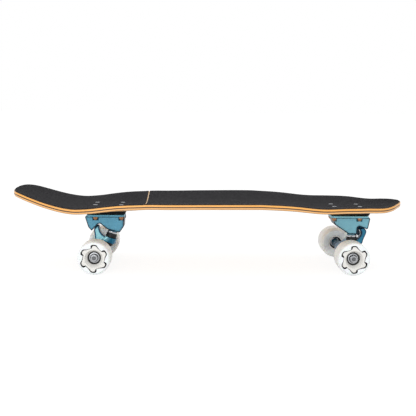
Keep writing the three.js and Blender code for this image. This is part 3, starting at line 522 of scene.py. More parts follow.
def cast(thing, grain, rounds, keep_share):
    """Melts overlapping shapes into one skin with soft edges, as a casting has"""
    skin = thing.modifiers.new("skin", "REMESH")
    skin.mode = "VOXEL"
    skin.voxel_size = grain * MM
    soften = thing.modifiers.new("soften", "SMOOTH")
    soften.factor = 0.5
    soften.iterations = rounds
    thin = thing.modifiers.new("thin", "DECIMATE")
    thin.ratio = keep_share
    apply_modifiers(thing)


def sharpen(thing, degrees=SHARP):
    """Smooth shading but for the sharp edges, after cuts"""
    thing.data.shade_smooth()
    thing.data.set_sharp_from_angle(angle=math.radians(degrees))


def lattice(thing, low, high):
    """Cuts the mesh on a grid in X and Z, inside a box in millimetres, so that the painted highlights
    and shade can change
    """
    shape = bmesh.new()
    shape.from_mesh(thing.data)
    faces = [
        face for face in shape.faces
        if all(a <= b / MM <= c for a, b, c in zip(low, face.calc_center_median(), high))
    ]
    edges = {edge for face in faces for edge in face.edges}
    verts = {vert for edge in edges for vert in edge.verts}
    inside = [*faces, *edges, *verts]
    for axis in (0, 2):
        normal = Vector((axis == 0, 0, axis == 2))
        place = low[axis] + TONE_STEP
        while place < high[axis]:
            inside = bmesh.ops.bisect_plane(
                shape, geom=inside, dist=0.01 * MM, plane_co=normal * place * MM, plane_no=normal
            )["geom"]
            place += TONE_STEP
    bmesh.ops.triangulate(shape, faces=[face for face in shape.faces if len(face.verts) > 4])
    shape.to_mesh(thing.data)
    shape.free()


def inside(places, outline):
    """Which places, in X and Z, lie inside a side outline"""
    turns = np.zeros(len(places))
    for a, b in zip(outline, outline[1:] + outline[:1]):
        from_a, from_b = places - np.array(a), places - np.array(b)
        cross = from_a[:, 0] * from_b[:, 1] - from_a[:, 1] * from_b[:, 0]
        turns += np.arctan2(cross, (from_a * from_b).sum(axis=1))
    return np.abs(turns) > 3


def mark_rims(
    thing, edges, reach, half_width, top=math.inf, shade_under=0.0, within=None, plain_mark=0.0
):
    """Marks how near each point is to the edges of a side outline, for painted shade and highlights,
    and marks those just under a flange, for a painted shadow.
    Points above the top or further out than the half width stay unmarked. With an outline to stay
    within, the marks outside it grow with the distance, up to the plain one."""
    shade_mark, slack, fade_start = 0.75, 0.8, 0.4
    mesh = thing.data
    places = np.empty(len(mesh.vertices) * 3)
    mesh.vertices.foreach_get("co", places)
    places = places.reshape(-1, 3) / MM
    side = places[:, (0, 2)]
    nearest = np.full(len(places), math.inf)
    for a, b in edges:
        start, way = np.array(a), np.array(b) - np.array(a)
        offset = side - start
        along = np.clip(offset @ way / (way @ way), 0, 1)
        nearest = np.minimum(nearest, np.linalg.norm(offset - along[:, None] * way, axis=1))
    marks = np.clip(1 - nearest / reach, 0, 1)
    # Points just under the flange take the mark of the painted shadow
    if shade_under:
        marks[top - places[:, 2] < shade_under] = shade_mark
    wide = np.abs(places[:, 1]) > half_width
    if within:
        outside = (~inside(side, within) & (nearest > slack)) | wide
        marks[outside] = plain_mark * np.clip(nearest[outside] / RIM_FADE - fade_start, 0, 1)
    else:
        marks[(places[:, 2] > top) | wide] = 0
    mesh.attributes.new("rim", "FLOAT", "POINT").data.foreach_set("value", marks)


def stand_in(thing, slot, *nodes):
    """The object takes the place of its nodes and moves with their body"""
    bodies = frame["record"]["behaviour"]["bodies"]
    body = next(name for name, members in bodies.items() if nodes[0] in members)
    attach(thing, body)
    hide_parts(*nodes)
    return thing


# Node materials


def add_node(tree, kind, inputs=None, **settings):
    """Node with its settings and inputs; an input may be another node's output"""
    node = tree.nodes.new(kind)
    for name, value in settings.items():
        setattr(node, name, value)
    for name, value in (inputs or {}).items():
        if isinstance(value, bpy.types.NodeSocket):
            tree.links.new(value, node.inputs[name])
        else:
            node.inputs[name].default_value = value
    return node


def full(shade):
    """Colour with its alpha"""
    return (*shade[:3], 1)


def empty_tree(owner):
    """Cleared node tree of a material or a world"""
    owner.use_nodes = True
    owner.node_tree.nodes.clear()
    return owner.node_tree


def new_finish(name):
    """Material with its tree, its shader and its object coordinates"""
    finish = bpy.data.materials.new(name)
    tree = empty_tree(finish)
    shader = add_node(tree, "ShaderNodeBsdfPrincipled")
    output = add_node(tree, "ShaderNodeOutputMaterial")
    tree.links.new(shader.outputs["BSDF"], output.inputs["Surface"])
    place = add_node(tree, "ShaderNodeTexCoord").outputs["Object"]
    return finish, tree, shader, place


def noise(tree, place, scale, detail=3, roughness=0.55):
    """Noise between 0 and 1"""
    inputs = {"Vector": place, "Scale": scale, "Detail": detail, "Roughness": roughness}
    return add_node(tree, "ShaderNodeTexNoise", inputs).outputs["Fac"]


def stretched(tree, place, scale):
    """Coordinates stretched along some axes"""
    return add_node(tree, "ShaderNodeMapping", {"Vector": place, "Scale": scale}).outputs["Vector"]


def ramp(tree, value, stops, blend="LINEAR"):
    """Colours along a value"""
    node = add_node(tree, "ShaderNodeValToRGB", {"Fac": value})
    node.color_ramp.interpolation = blend
    elements = node.color_ramp.elements
    while len(elements) < len(stops):
        elements.new(0.5)
    for element, (place, shade) in zip(elements, stops):
        element.position = place
        element.color = full(shade)
    return node.outputs["Color"]


def blend(tree, share_of_second, first, second, kind="MIX"):
    """Two colours mixed"""
    node = add_node(tree, "ShaderNodeMix", data_type="RGBA", blend_type=kind)
    mixed = {MIX_FACTOR: share_of_second, MIX_FIRST: first, MIX_SECOND: second}
    for number, value in mixed.items():
        socket = node.inputs[number]
        if isinstance(value, bpy.types.NodeSocket):
            tree.links.new(value, socket)
        else:
            socket.default_value = value if isinstance(value, (int, float)) else full(value)
    return node.outputs[MIX_RESULT]


def spread(tree, value, low, high):
    """Value between 0 and 1 spread over a range"""
    inputs = {"Value": value, "To Min": low, "To Max": high}
    return add_node(tree, "ShaderNodeMapRange", inputs).outputs["Result"]


def bump(tree, shader, height, distance, strength=0.5):
    """Fine relief, with its depth in metres"""
    inputs = {"Height": height, "Distance": distance, "Strength": strength}
    relief = add_node(tree, "ShaderNodeBump", inputs)
    tree.links.new(relief.outputs["Normal"], shader.inputs["Normal"])


def scaled(shade, amount):
    """Shade made darker, or paler by an amount above 1"""
    return tuple(min(part * amount, 1) for part in shade[:3])


def grey(value):
    """Shade without a hue"""
    return (value, value, value)


def dress(tree, shader, tone, roughness, relief, constants=None):
    """Gives a shader its colour, its roughness as a value and its range, its relief as a height,
    a depth and a strength, and its plain settings"""
    tree.links.new(tone, shader.inputs["Base Color"])
    tree.links.new(spread(tree, *roughness), shader.inputs["Roughness"])
    bump(tree, shader, *relief)
    for name, value in (constants or {}).items():
        shader.inputs[name].default_value = value


def grip_finish(colours):
    """Black tape with sparkling grit, in loose clumps"""
    finish, tree, shader, place = new_finish("grip_grit")
    grit = noise(tree, place, 1500, 2)
    clumps = noise(tree, place, 360, 2, 0.75)
    dark, pale = scaled(colours.grip, 0.35), scaled(colours.grip, 2.2)
    speck = ramp(tree, grit, ((0.3, dark), (0.52, colours.grip), (0.74, pale)))
    patch = ramp(tree, clumps, ((0.36, grey(0.22)), (0.5, grey(0.62)), (0.64, WHITE)))
    tone = blend(tree, 1.0, speck, patch, "MULTIPLY")
    dress(tree, shader, tone, (grit, 0.8, 1.0), (grit, 0.0004, 0.9), {"Specular IOR Level": 0.12})
    return finish


def wood_finish(colours):
    """Maple plies that show at the edge, with veneer on both faces"""
    finish, tree, shader, place = new_finish("maple_plies")
    depth = add_node(tree, "ShaderNodeAttribute", attribute_name="depth").outputs["Fac"]
    # Along the edge: a dark band just under the top, and plies that grow darker towards the bottom
    plies = ramp(
        tree,
        depth,
        (
            (0, colours.veneer),
            (0.004, colours.dark_ply),
            (0.05, scaled(colours.top_plies, 0.9)),
            (0.15, scaled(colours.top_plies, 1.1)),
            (0.28, colours.top_plies),
            (0.4, colours.dark_ply),
            (0.61, colours.low_plies),
            (0.73, scaled(colours.low_plies, 1.1)),
            (0.84, scaled(colours.low_plies, 0.8)),
            (0.91, scaled(colours.low_plies, 0.45)),
            (0.99, colours.veneer),
        ),
        "CONSTANT",
    )
    fibre = noise(tree, stretched(tree, place, (22, 700, 700)), 1, 5, 0.7)
    figure = noise(tree, stretched(tree, place, (3, 40, 40)), 1, 4, 0.6)
    streak = ramp(tree, fibre, ((0.25, (0.86, 0.82, 0.78)), (0.6, WHITE)))
    bands = ramp(tree, figure, ((0.3, (0.93, 0.89, 0.85)), (0.65, WHITE)))
    grained = blend(tree, 1.0, plies, streak, "MULTIPLY")
    tone = blend(tree, 1.0, grained, bands, "MULTIPLY")
    lacquer = {"Coat Weight": 0.25, "Coat Roughness": 0.2}
    dress(tree, shader, tone, (fibre, 0.32, 0.5), (fibre, 0.0001, 0.25), lacquer)
    return finish


def blue_finish(name, shade, metallic, low, high, rims):
    """Blasted and coloured aluminium, with painted highlights and shade towards the rims"""
    finish, tree, shader, place = new_finish(name)
    blast = noise(tree, place, 2600, 2)
    cloud = noise(tree, place, 60, 3)
    rim = add_node(tree, "ShaderNodeAttribute", attribute_name="rim").outputs["Fac"]
    edge = ramp(tree, rim, ((0, shade), *rims))
    patch = ramp(tree, cloud, ((0.3, grey(0.88)), (0.7, WHITE)))
    sparkle = ramp(tree, blast, ((0.35, grey(0.92)), (0.65, WHITE)))
    grained = blend(tree, 1.0, patch, sparkle, "MULTIPLY")
    tone = blend(tree, 1.0, edge, grained, "MULTIPLY")
    dress(tree, shader, tone, (cloud, low, high), (blast, 0.00008, 0.35), {"Metallic": metallic})
    return finish


def base_finish(name, shade, rim_shade):
    """Satin blue, with a painted highlight on the bevel between two painted dark lines, and painted
    shade along the rims and under the flange
    """
    line, pale, fading = scaled(shade, 0.66), scaled(shade, 1.16), scaled(shade, 1.1)
    # Across the bevel: a painted dark line, then the painted highlight (pale) that fades, then
    # painted shade at the rim
    rims = (
        (0.06, shade), (0.14, line), (0.24, line),
        (0.32, pale), (0.42, fading), (0.52, rim_shade),
    )
    return blue_finish(name, shade, 0.5, 0.34, 0.44, rims)


def hanger_finish(name, metallic, painted_shine, shade, rim_shade):
    """Deeper blue, with a painted highlight along the arm's middle and painted shade along its rims
    """
    rims = ((0.08, painted_shine), (0.3, shade), (0.42, shade), (0.72, rim_shade))
    return blue_finish(name, painted_shine, metallic, 0.22, 0.34, rims)


def rubber_finish(name, shade, roughness):
    """Moulded rubber with a fine matt skin"""
    finish, tree, shader, place = new_finish(name)
    skin = noise(tree, place, 900, 3)
    scuff = noise(tree, place, 110, 4)
    tone = ramp(tree, scuff, ((0.35, shade), (0.75, scaled(shade, 1.7))))
    rough = (skin, roughness - 0.1, roughness + 0.1)
    dress(tree, shader, tone, rough, (skin, 0.0001, 0.4), {"Specular IOR Level": 0.25})
    return finish


def metal_finish(name, shade, low, high, ring=False):
    """Plated or turned metal; a turned one has fine rings about its own axis"""
    finish, tree, shader, place = new_finish(name)
    stretch = (40, 40, 4000) if ring else (900, 900, 900)
    lines = noise(tree, stretched(tree, place, stretch), 1, 3)
    stain = noise(tree, place, 260, 4)
    tone = ramp(tree, stain, ((0.3, scaled(shade, 0.8)), (0.65, shade)))
    dress(tree, shader, tone, (lines, low, high), (lines, 0.00004, 0.3), {"Metallic": 1})
    return finish


def urethane_finish(colours):
    """Cloudy pale urethane"""
    finish, tree, shader, place = new_finish("urethane")
    cloud = noise(tree, place, 45, 4)
    mould = noise(tree, place, 1300, 2)
    tone = ramp(tree, cloud, ((0.3, scaled(colours.urethane, 0.93)), (0.7, colours.urethane)))
    glow = {
        "Subsurface Weight": 0.25,
        "Subsurface Radius": (0.8, 1, 0.8),
        "Subsurface Scale": 0.004,
    }
    dress(tree, shader, tone, (mould, 0.3, 0.46), (mould, 0.00005, 0.3), glow)
    return finish


def plastic_finish(name, shade, roughness):
    """Moulded plastic with faint flow marks"""
    finish, tree, shader, place = new_finish(name)
    flow = noise(tree, stretched(tree, place, (120, 120, 40)), 1, 4)
    pebble = noise(tree, place, 1600, 2)
    tone = ramp(tree, flow, ((0.3, scaled(shade, 0.93)), (0.65, shade)))
    rough = (pebble, roughness - 0.06, roughness + 0.06)
    dress(tree, shader, tone, rough, (pebble, 0.00004, 0.3))
    return finish


FINISHES = {}


def finish_named(name):
    """Finish of the board, made at its first use"""
    colours = bpy.context.scene.surf_colours
    makers = {
        "grip": lambda: grip_finish(colours),
        "wood": lambda: wood_finish(colours),
        # The bases' finishes are lit and shaded copies of one blue, with painted highlights and shade
        # along their rims
        "base_front": lambda: base_finish("front_base_blue_painted_light_and_shade", colours.base_front, colours.painted_base_rim_shade),
        "base_rear": lambda: base_finish("rear_base_blue_painted_light_and_shade", colours.base_rear, colours.painted_base_rim_shade),
        # The hangers' finishes are lit and shaded copies of one blue, with a painted highlight along
        # each arm
        "hanger_front": lambda: hanger_finish(
            "front_hanger_blue_painted_light_and_shade", 0.5, colours.painted_highlight_front_arm, colours.hanger_front, colours.painted_arm_rim_shade
        ),
        "hanger_rear": lambda: hanger_finish(
            "rear_hanger_blue_painted_light_and_shade", 0.2, colours.painted_highlight_rear_arm, colours.hanger_rear, colours.painted_arm_rim_shade
        ),
        "web": lambda: rubber_finish("web_shade", colours.web, 0.5),
        "rubber": lambda: rubber_finish("riser_rubber", colours.rubber, 0.8),
        "bushing": lambda: rubber_finish("bushing_urethane", colours.bushing, 0.45),
        "steel": lambda: metal_finish("bright_steel", colours.steel, 0.16, 0.3),
        "bolt": lambda: metal_finish("bolt_steel", scaled(colours.steel, 0.75), 0.3, 0.45),
        "race": lambda: metal_finish("race_steel", colours.steel, 0.24, 0.4, True),
        "shield": lambda: metal_finish("shield_steel", scaled(colours.steel, 0.1), 0.3, 0.5, True),
        "nut": lambda: metal_finish("nut_steel", scaled(colours.steel, 0.95), 0.24, 0.4),
        "axle": lambda: metal_finish("axle_steel", scaled(colours.steel, 0.3), 0.3, 0.5, True),
        "copper": lambda: metal_finish("nut_plating", colours.copper, 0.22, 0.36),
        "urethane": lambda: urethane_finish(colours),
        "core": lambda: plastic_finish("core_plate", colours.core, 0.36),
        "painted_recess_shade": lambda: plastic_finish("core_painted_recess_shade", colours.painted_recess_shade, 0.5),
        "cup": lambda: plastic_finish("pivot_cup", colours.bushing, 0.4),
    }
    if name not in FINISHES:
        FINISHES[name] = makers[name]()
    return FINISHES[name]


# Deck


def centre_height(deck, x):
    """Height of the wood's top along the middle"""
    front, rear = TRUCKS["front"].bolt_place, TRUCKS["rear"].bolt_place
    pad_outer, pad_inner, rear_ramp, front_ramp = 53, 42, 63, 135
    kick_slope, nose_power = 0.381, 2.2
    kick = rear - pad_outer - x
    nose = x - front - pad_outer
    height = deck.rear_pad + deck.mid_rise * smooth_step((x - rear - pad_inner) / rear_ramp)
    fall = deck.rear_pad + deck.mid_rise - deck.front_pad
    height -= fall * smooth_step((x - front + pad_inner + front_ramp) / front_ramp)
    if kick > 0:
        height += kick_slope * (math.hypot(kick, deck.kick_blend) - deck.kick_blend)
    if nose > 0:
        height += deck.nose_rise * (nose / (deck.length / 2 - front - pad_outer)) ** nose_power
    return height


def top_height(deck, x, y, half):
    """Height of the wood's top, in a row of the given half width"""
    flat_share, rise_power = 0.3, 1.2
    flat = min(deck.flat, flat_share * half)
    across = max(abs(y) - flat, 0) / (half - flat)
    depth = deck.concave * table_value(CONCAVE_SHARES, 2 * x / deck.length)
    return centre_height(deck, x) + depth * across**rise_power


def plan_rows(deck):
    """Rows across the deck: place, half width and the outline's direction"""
    points = [(along * deck.length / 2, across * deck.width / 2) for along, across in PLAN_SHARES]
    line = curve_through(points, steps=7)
    rows = []
    for index, point in enumerate(line):
        onward = line[min(index + 1, len(line) - 1)] - line[max(index - 1, 0)]
        rows.append((point, onward.normalized()))
    return rows


def inset(row, distance):
    """Point of a row moved in from the rail"""
    (x, half), (along, across) = row
    return Vector((x + distance * across, half - distance * along))


def row_at(rows, place, distance):
    """Row, cut straight across, where the inset outline passes a place"""
    for first, second in zip(rows, rows[1:]):
        a, b = inset(first, distance), inset(second, distance)
        if a.x <= place <= b.x:
            t = (place - a.x) / (b.x - a.x)
            half = a.y + (b.y - a.y) * t + distance
            return (Vector((place, half)), Vector((1, 0)))
    raise ValueError("the place lies outside the deck")


def slab(deck, rows, outer, inner, lift, levels):
    """Sheet that follows the deck's top: two faces, and a rim through the levels.
    A level is the share of the way from the inner to the outer outline, and its depth."""
    shape = bmesh.new()
    depth_of = shape.verts.layers.float.new("depth")
    thickness = levels[-1][1]
    columns = 28

    def vertex(x, y, z, depth):
        made = shape.verts.new((x, y, z))
        made[depth_of] = depth / thickness
        return made

    def grid(depth):
        lines = []
        for row in rows:
            edge = inset(row, inner)
            half = row[0].y
            line = []
            for column in range(columns + 1):
                y = edge.y * (2 * column / columns - 1)
                height = top_height(deck, edge.x, y, half) + lift - depth
                line.append(vertex(edge.x, y, height, depth))
            lines.append(line)
        return lines

    faces = [grid(0), grid(thickness)]
    for lines in faces:
        for line, onward in zip(lines, lines[1:]):
            for column in range(columns):
                shape.faces.new((line[column], line[column + 1], onward[column + 1], onward[column]))
    last = len(rows) - 1
    rim = [(0, column) for column in range(columns)]
    rim += [(row, columns) for row in range(last)]
    rim += [(last, column) for column in range(columns, 0, -1)]
    rim += [(row, 0) for row in range(last, 0, -1)]
    strips = []
    for row, column in rim:
        start = inset(rows[row], inner)
        end = inset(rows[row], outer)
        spread_share = 2 * column / columns - 1
        half = rows[row][0].y
        high = top_height(deck, start.x, start.y * spread_share, half)
        far_high = top_height(deck, end.x, end.y * spread_share, half)
        strip = [faces[0][row][column]]
        for way, depth in levels[1:-1]:
            x = start.x + (end.x - start.x) * way
            y = (start.y + (end.y - start.y) * way) * spread_share
            strip.append(vertex(x, y, high + (far_high - high) * way + lift - depth, depth))
        strip.append(faces[1][row][column])
        strips.append(strip)
    for strip, onward in zip(strips, strips[1:] + strips[:1]):
        for level in range(len(levels) - 1):
            shape.faces.new((strip[level], strip[level + 1], onward[level + 1], onward[level]))
    bmesh.ops.recalc_face_normals(shape, faces=shape.faces)
    return shape


def bolt_places(truck_sizes):
    """Centres of a truck's bolts, in its own frame"""
    for along in (1, -1):
        for across in (1, -1):
            yield along * truck_sizes.bolt_long / 2, across * truck_sizes.bolt_wide / 2


def bolt_cutters(deck, truck_sizes, end, head_radius, shank_radius):
    """Countersunk holes for a truck's bolts"""
    truck = TRUCKS[end]
    high = (deck.front_pad if end == "front" else deck.rear_pad) + TAPE_TOP
    above, below, head_low, cone_low = 5, -30, -1.05, -3.1
    profile = [
        (0, below), (shank_radius, below), (shank_radius, cone_low),
        (head_radius, head_low), (head_radius, above), (0, above),
    ]
    shapes = []
    for x, y in bolt_places(truck_sizes):
        shift = Matrix.Translation((truck.bolt_place + truck.facing * x, y, high))
        shapes.append(moved(revolve(profile, 32), shift))
    return joined(shapes)


class SURF_OT_deck(Operator):
    """Press the maple deck"""

    bl_idname = "surf.deck"
    bl_label = "Deck"

    def execute(self, context):
        deck = in_mm(context.scene.surf_deck)
        trucks = in_mm(context.scene.surf_truck)
        steps = 5
        turns = [math.pi / 2 * step / steps for step in range(steps + 1)]
        levels = [(math.sin(turn), deck.rail * (1 - math.cos(turn))) for turn in turns]
        levels += [(math.cos(turn), deck.wood - deck.rail * (1 - math.sin(turn))) for turn in turns]
        shape = slab(deck, plan_rows(deck), 0, deck.rail, 0, levels)
        wood = piece("pressed_deck", shape, finish_named("wood"))
        for end in ENDS:
            cut(wood, bolt_cutters(deck, trucks, end, HEAD_HOLE, SHANK_HOLE))
        sharpen(wood, 50)
        stand_in(wood, "deck_wood", "deck")
        return {"FINISHED"}


class SURF_OT_tape(Operator):
    """Lay the two sheets of grip tape"""

    bl_idname = "surf.tape"
    bl_label = "Grip tape"

    def execute(self, context):
        deck = in_mm(context.scene.surf_deck)
        trucks = in_mm(context.scene.surf_truck)
        rows = plan_rows(deck)
        half_slit = deck.slit_width / 2
        rear_edge, front_edge = deck.slit_place - half_slit, deck.slit_place + half_slit
        tail = [row for row in rows if inset(row, deck.rail).x < rear_edge - 1]
        nose = [row for row in rows if inset(row, deck.rail).x > front_edge + 1]
        sheets = {
            "front": [row_at(rows, front_edge, deck.rail), *nose],
            "rear": [*tail, row_at(rows, rear_edge, deck.rail)],
        }
        inner = deck.rail + deck.tape_edge
        lift = deck.tape + 0.05
        levels = [(0, 0), (0.7, 0.12), (1, 0.5), (1, deck.tape), (0, deck.tape)]
        for end, sheet_rows in sheets.items():
            shape = slab(deck, sheet_rows, deck.rail, inner, lift, levels)
            tape = piece(f"tape_{end}", shape, finish_named("grip"))
            cut(tape, bolt_cutters(deck, trucks, end, HEAD_HOLE, HEAD_HOLE))
            sharpen(tape, 35)
            stand_in(tape, "grip_tape", "grip_tape_front" if end == "front" else "grip_tape_tail")
        return {"FINISHED"}


# Trucks


def truck_matrix(end):
    """Truck's frame, in metres"""
    truck = TRUCKS[end]
    turn = 0 if truck.facing > 0 else math.pi
    place = Vector((truck.bolt_place * MM, 0, truck.base_top * MM))
    return Matrix.Translation(place) @ Matrix.Rotation(turn, 4, "Z")


def tilt_matrix(place, degrees_from_up, scale=1):
    """Frame at a place of the truck, with +Z leaning outward"""
    x, z = place
    shift = Matrix.Translation((x * scale, 0, z * scale))
    return shift @ Matrix.Rotation(math.radians(degrees_from_up), 4, "Y")


def kingpin_matrix(truck, scale=1):
    """Frame in the middle of the ring, along the kingpin"""
    return tilt_matrix(truck.ring, -truck.lean_degrees, scale)


def steer_matrix(truck, scale=1):
    """Frame in the middle of the ring, along the steering axis"""
    return tilt_matrix(truck.ring, 90 - truck.steer_degrees, scale)


def rod_profile(radius, low, high, rounding=0, inner=0):
    """Profile of a rod or a ring, with rounded rims"""
    corners = [(inner, low), (radius, low), (radius, high), (inner, high)]
    if not rounding:
        return corners
    return round_corners(corners, rounding, 3, closed=inner > 0)


def rod(radius, low, high, matrix, rounding=0, steps=48):
    """Solid rod about a frame's +Z"""
    return moved(revolve(rod_profile(radius, low, high, rounding), steps), matrix)


def stack_heights(truck, trucks):
    """Heights along the kingpin, counted up from the ring's middle"""
    gap, washer, lower_room, nut_room, cover = 0.3, 1.5, 8.5, 7.9, 3.6
    low = trucks.ring_width / 2 + gap
    washer_low = low + truck.upper_bushing + gap
    seat = washer_low + washer + gap
    lower_high = -trucks.ring_width / 2 - gap
    lower_low = lower_high - lower_room
    nut_high = lower_low - gap
    top = (-truck.ring[1] - cover) / math.cos(math.radians(truck.lean_degrees))
    return SimpleNamespace(
        upper_low=low, washer_low=washer_low, seat=seat, lower_high=lower_high,
        lower_low=lower_low, nut_high=nut_high, low=nut_high - nut_room, top=top,
    )


class SURF_OT_risers(Operator):
    """Mould the rubber risers"""

    bl_idname = "surf.risers"
    bl_label = "Risers"

    def execute(self, context):
        trucks = in_mm(context.scene.surf_truck)
        for end in ENDS:
            truck = TRUCKS[end]
            shape = riser_shape(truck, trucks)
            riser = piece(f"rubber_riser_{end}", shape, finish_named("rubber"), truck_matrix(end))
            stand_in(riser, "riser_rubber", f"riser_{end}")
        return {"FINISHED"}


def rounded_rectangle(low, high, half, corner):
    """Rectangle with rounded corners in X and Y"""
    corners = [(low, -half), (high, -half), (high, half), (low, half)]
    return round_corners(corners, corner, steps=8)


def riser_shape(truck, trucks):
    """Riser: a rounded rectangle that widens upwards"""
    inner = truck.inner + trucks.riser_overhang
    outer = truck.outer - trucks.flange_chamfer + trucks.riser_overhang
    half = trucks.base_width / 2 - trucks.riser_flare
    flare = trucks.riser_flare
    low = rounded_rectangle(-inner, outer, half, trucks.riser_corner)
    high = rounded_rectangle(-inner - flare, outer + flare, half + flare, trucks.riser_corner)
    rounding, lift, pull = 0.4, 0.3, 0.0075
    levels = [
        (pull, 0.02, 0), (0, 0, rounding), (0, 1, truck.riser - rounding), (pull, 1, truck.riser),
    ]
    shape = bmesh.new()
    middle = Vector(((outer - inner) / 2, 0))
    rings = []
    for inward, way, height in levels:
        points = [a.lerp(b, way).lerp(middle, inward) for a, b in zip(low, high)]
        rings.append([shape.verts.new((x, y, height + lift)) for x, y in points])
    for ring, onward in zip(rings, rings[1:]):
        for index in range(len(ring)):
            after = (index + 1) % len(ring)
            shape.faces.new((ring[index], ring[after], onward[after], onward[index]))
    shape.faces.new(rings[0][::-1])
    shape.faces.new(rings[-1])
    bmesh.ops.recalc_face_normals(shape, faces=shape.faces)
    return shape


def share_outline(truck, shares):
    """Outline given as shares of the base's length and height"""
    length = truck.inner + truck.outer
    return [(along * length - truck.inner, -down * truck.height) for along, down in shares]


def flange_shape(truck, trucks):
    """Flat flange that the bolts hold"""
    outer = truck.outer - trucks.flange_chamfer
    outline = rounded_rectangle(-truck.inner, outer, trucks.base_width / 2, trucks.flange_corner)
    flat = plate(outline, trucks.flange, 0.9, 2)
    lying = Matrix.Rotation(-math.pi / 2, 4, "X")
    return moved(flat, Matrix.Translation((0, 0, -trucks.flange / 2)) @ lying)


def carve_base(body, truck, trucks, notch):
    """Notches a base's body, adds its flange and the kingpin's seat, and drills the casting"""
    boss, head_hole, head_depth, stack_room = 9.6, 7.8, 5.3, 11.5
    cup_hole, bolt_hole, nut_room, nut_low = 5.7, 2.7, 6.6, -13
    stack = stack_heights(truck, trucks)
    kingpin = kingpin_matrix(truck)
    cut(body, plate(notch, trucks.body_width + 4, 0))
    seat = rod(boss, stack.seat, stack.seat + boss, kingpin)
    add_shapes(body, [flange_shape(truck, trucks), seat])
    cast(body, 0.55, 5, 0.35)
    cut(body, rod(trucks.kingpin + PLAY, 0, stack.top + 2, kingpin))
    cut(body, rod(head_hole, stack.top - head_depth, stack.top + 20, kingpin, steps=32))
    cut(body, rod(stack_room, 0, stack.seat, kingpin))
    cup_top = truck.reach + CUP_FLOOR + CUP_WALL + PLAY
    cut(body, rod(cup_hole, truck.reach - 2, cup_top, steer_matrix(truck)))
    for x, y in bolt_places(trucks):
        hole = Matrix.Translation((x, y, 0))
        cut(body, rod(bolt_hole, -7, 2, hole, steps=24))
        cut(body, rod(nut_room, nut_low, -trucks.flange, hole, steps=32))


class SURF_OT_bases(Operator):
    """Cast the truck bases"""

    bl_idname = "surf.bases"
    bl_label = "Truck bases"

    def execute(self, context):
        trucks = in_mm(context.scene.surf_truck)
        for end in ENDS:
            truck = TRUCKS[end]
            outline = round_corners(share_outline(truck, truck.base_shares), 1.6, 3)
            notch = round_corners(share_outline(truck, truck.notch_shares), 1.6, 4)
            shape = plate(outline, trucks.body_width, trucks.base_bevel)
            body = piece(f"cast_base_{end}", shape, finish_named(f"base_{end}"))
            carve_base(body, truck, trucks, notch)
            # Marks for painted shade and highlights along the rims, and for a painted shadow under
            # the flange
            lattice(body, (-40, -21, -45), (60, 21, -trucks.flange))
            edges = [*zip(outline, outline[1:] + outline[:1]), *zip(notch, notch[1:] + notch[:1])]
            top = PLAY - trucks.flange
            mark_rims(body, edges, 4.5, trucks.base_width, top=top, shade_under=2)
            body.matrix_world = truck_matrix(end)
            sharpen(body)
            stand_in(body, "base_metal", f"truck_base_{end}")
            # A thin dark web stands in for the shade inside the notch
            if truck.web_shares:
                outline = round_corners(share_outline(truck, truck.web_shares), 0.6, 2)
                shape = plate(outline, trucks.web, 0)
                web = piece(f"painted_shade_web_{end}", shape, finish_named("web"), truck_matrix(end))
                stand_in(web, "base_metal", f"truck_base_{end}")
        return {"FINISHED"}


def add_shapes(thing, shapes):
    """Adds more shapes, in millimetres, to an object's mesh"""
    whole = bmesh.new()
    whole.from_mesh(thing.data)
    extra = joined(shapes)
    bmesh.ops.scale(extra, vec=(MM, MM, MM), verts=extra.verts)
    mesh = bpy.data.meshes.new("extra")
    extra.to_mesh(mesh)
    extra.free()
    whole.from_mesh(mesh)
    bpy.data.meshes.remove(mesh)
    whole.to_mesh(thing.data)
    whole.free()


def arm_outline(truck):
    """Smooth side outline of the hanger's arm"""
    steer = math.radians(truck.steer_degrees)
    along = Vector((math.cos(steer), math.sin(steer)))
    across = Vector((math.sin(steer), -math.cos(steer)))
    ring = Vector(truck.ring)
    points = [ring + truck.reach * (a * along + b * across) for a, b in truck.arm_shares]
    return curve_through(points, 4, closed=True)


def link_outline(truck):
    """Round-ended outline from the ring to the axle"""
    start_radius, end_radius, steps = 12, 13, 14
    ring, axle = Vector(truck.ring), Vector(truck.axle)
    way = axle - ring
    heading = math.atan2(way.y, way.x)
    lean = math.acos((start_radius - end_radius) / way.length)
    points = []
    for step in range(steps + 1):
        angle = heading + lean + (2 * math.pi - 2 * lean) * step / steps
        points.append(ring + start_radius * Vector((math.cos(angle), math.sin(angle))))
    for step in range(steps + 1):
        angle = heading - lean + 2 * lean * step / steps
        points.append(axle + end_radius * Vector((math.cos(angle), math.sin(angle))))
    return points


def across_matrix(truck):
    """Frame in the middle of the axle, along it"""
    x, z = truck.axle
    return Matrix.Translation((x, 0, z)) @ Matrix.Rotation(-math.pi / 2, 4, "X")


def beam_shape(truck, trucks):
    """Beam that holds the axle, about Y"""
    half = trucks.hanger / 2
    side = [
        (trucks.beam, 0), (trucks.beam, 0.12), (13.2, 0.22), (11.2, 0.38),
        (trucks.beam_neck + 0.5, 0.52), (trucks.beam_neck, 0.65),
        (trucks.beam_end, 0.92), (trucks.beam_end, 0.985), (trucks.beam_end - 0.8, 1),
    ]
    line = curve_through([(radius, share_out * half) for radius, share_out in side], 4)
    line = [(point.x, min(point.y, half)) for point in line]
    profile = [(0, -half)] + [(r, -z) for r, z in line[:0:-1]] + line + [(0, half)]
    return moved(revolve(profile, 48), across_matrix(truck))


def pocket(profile, matrix):
    """Turned cutter, stretched across the board"""
    stretch = 1.75
    return moved(revolve(profile, 48), matrix @ Matrix.Diagonal((1, stretch, 1, 1)))


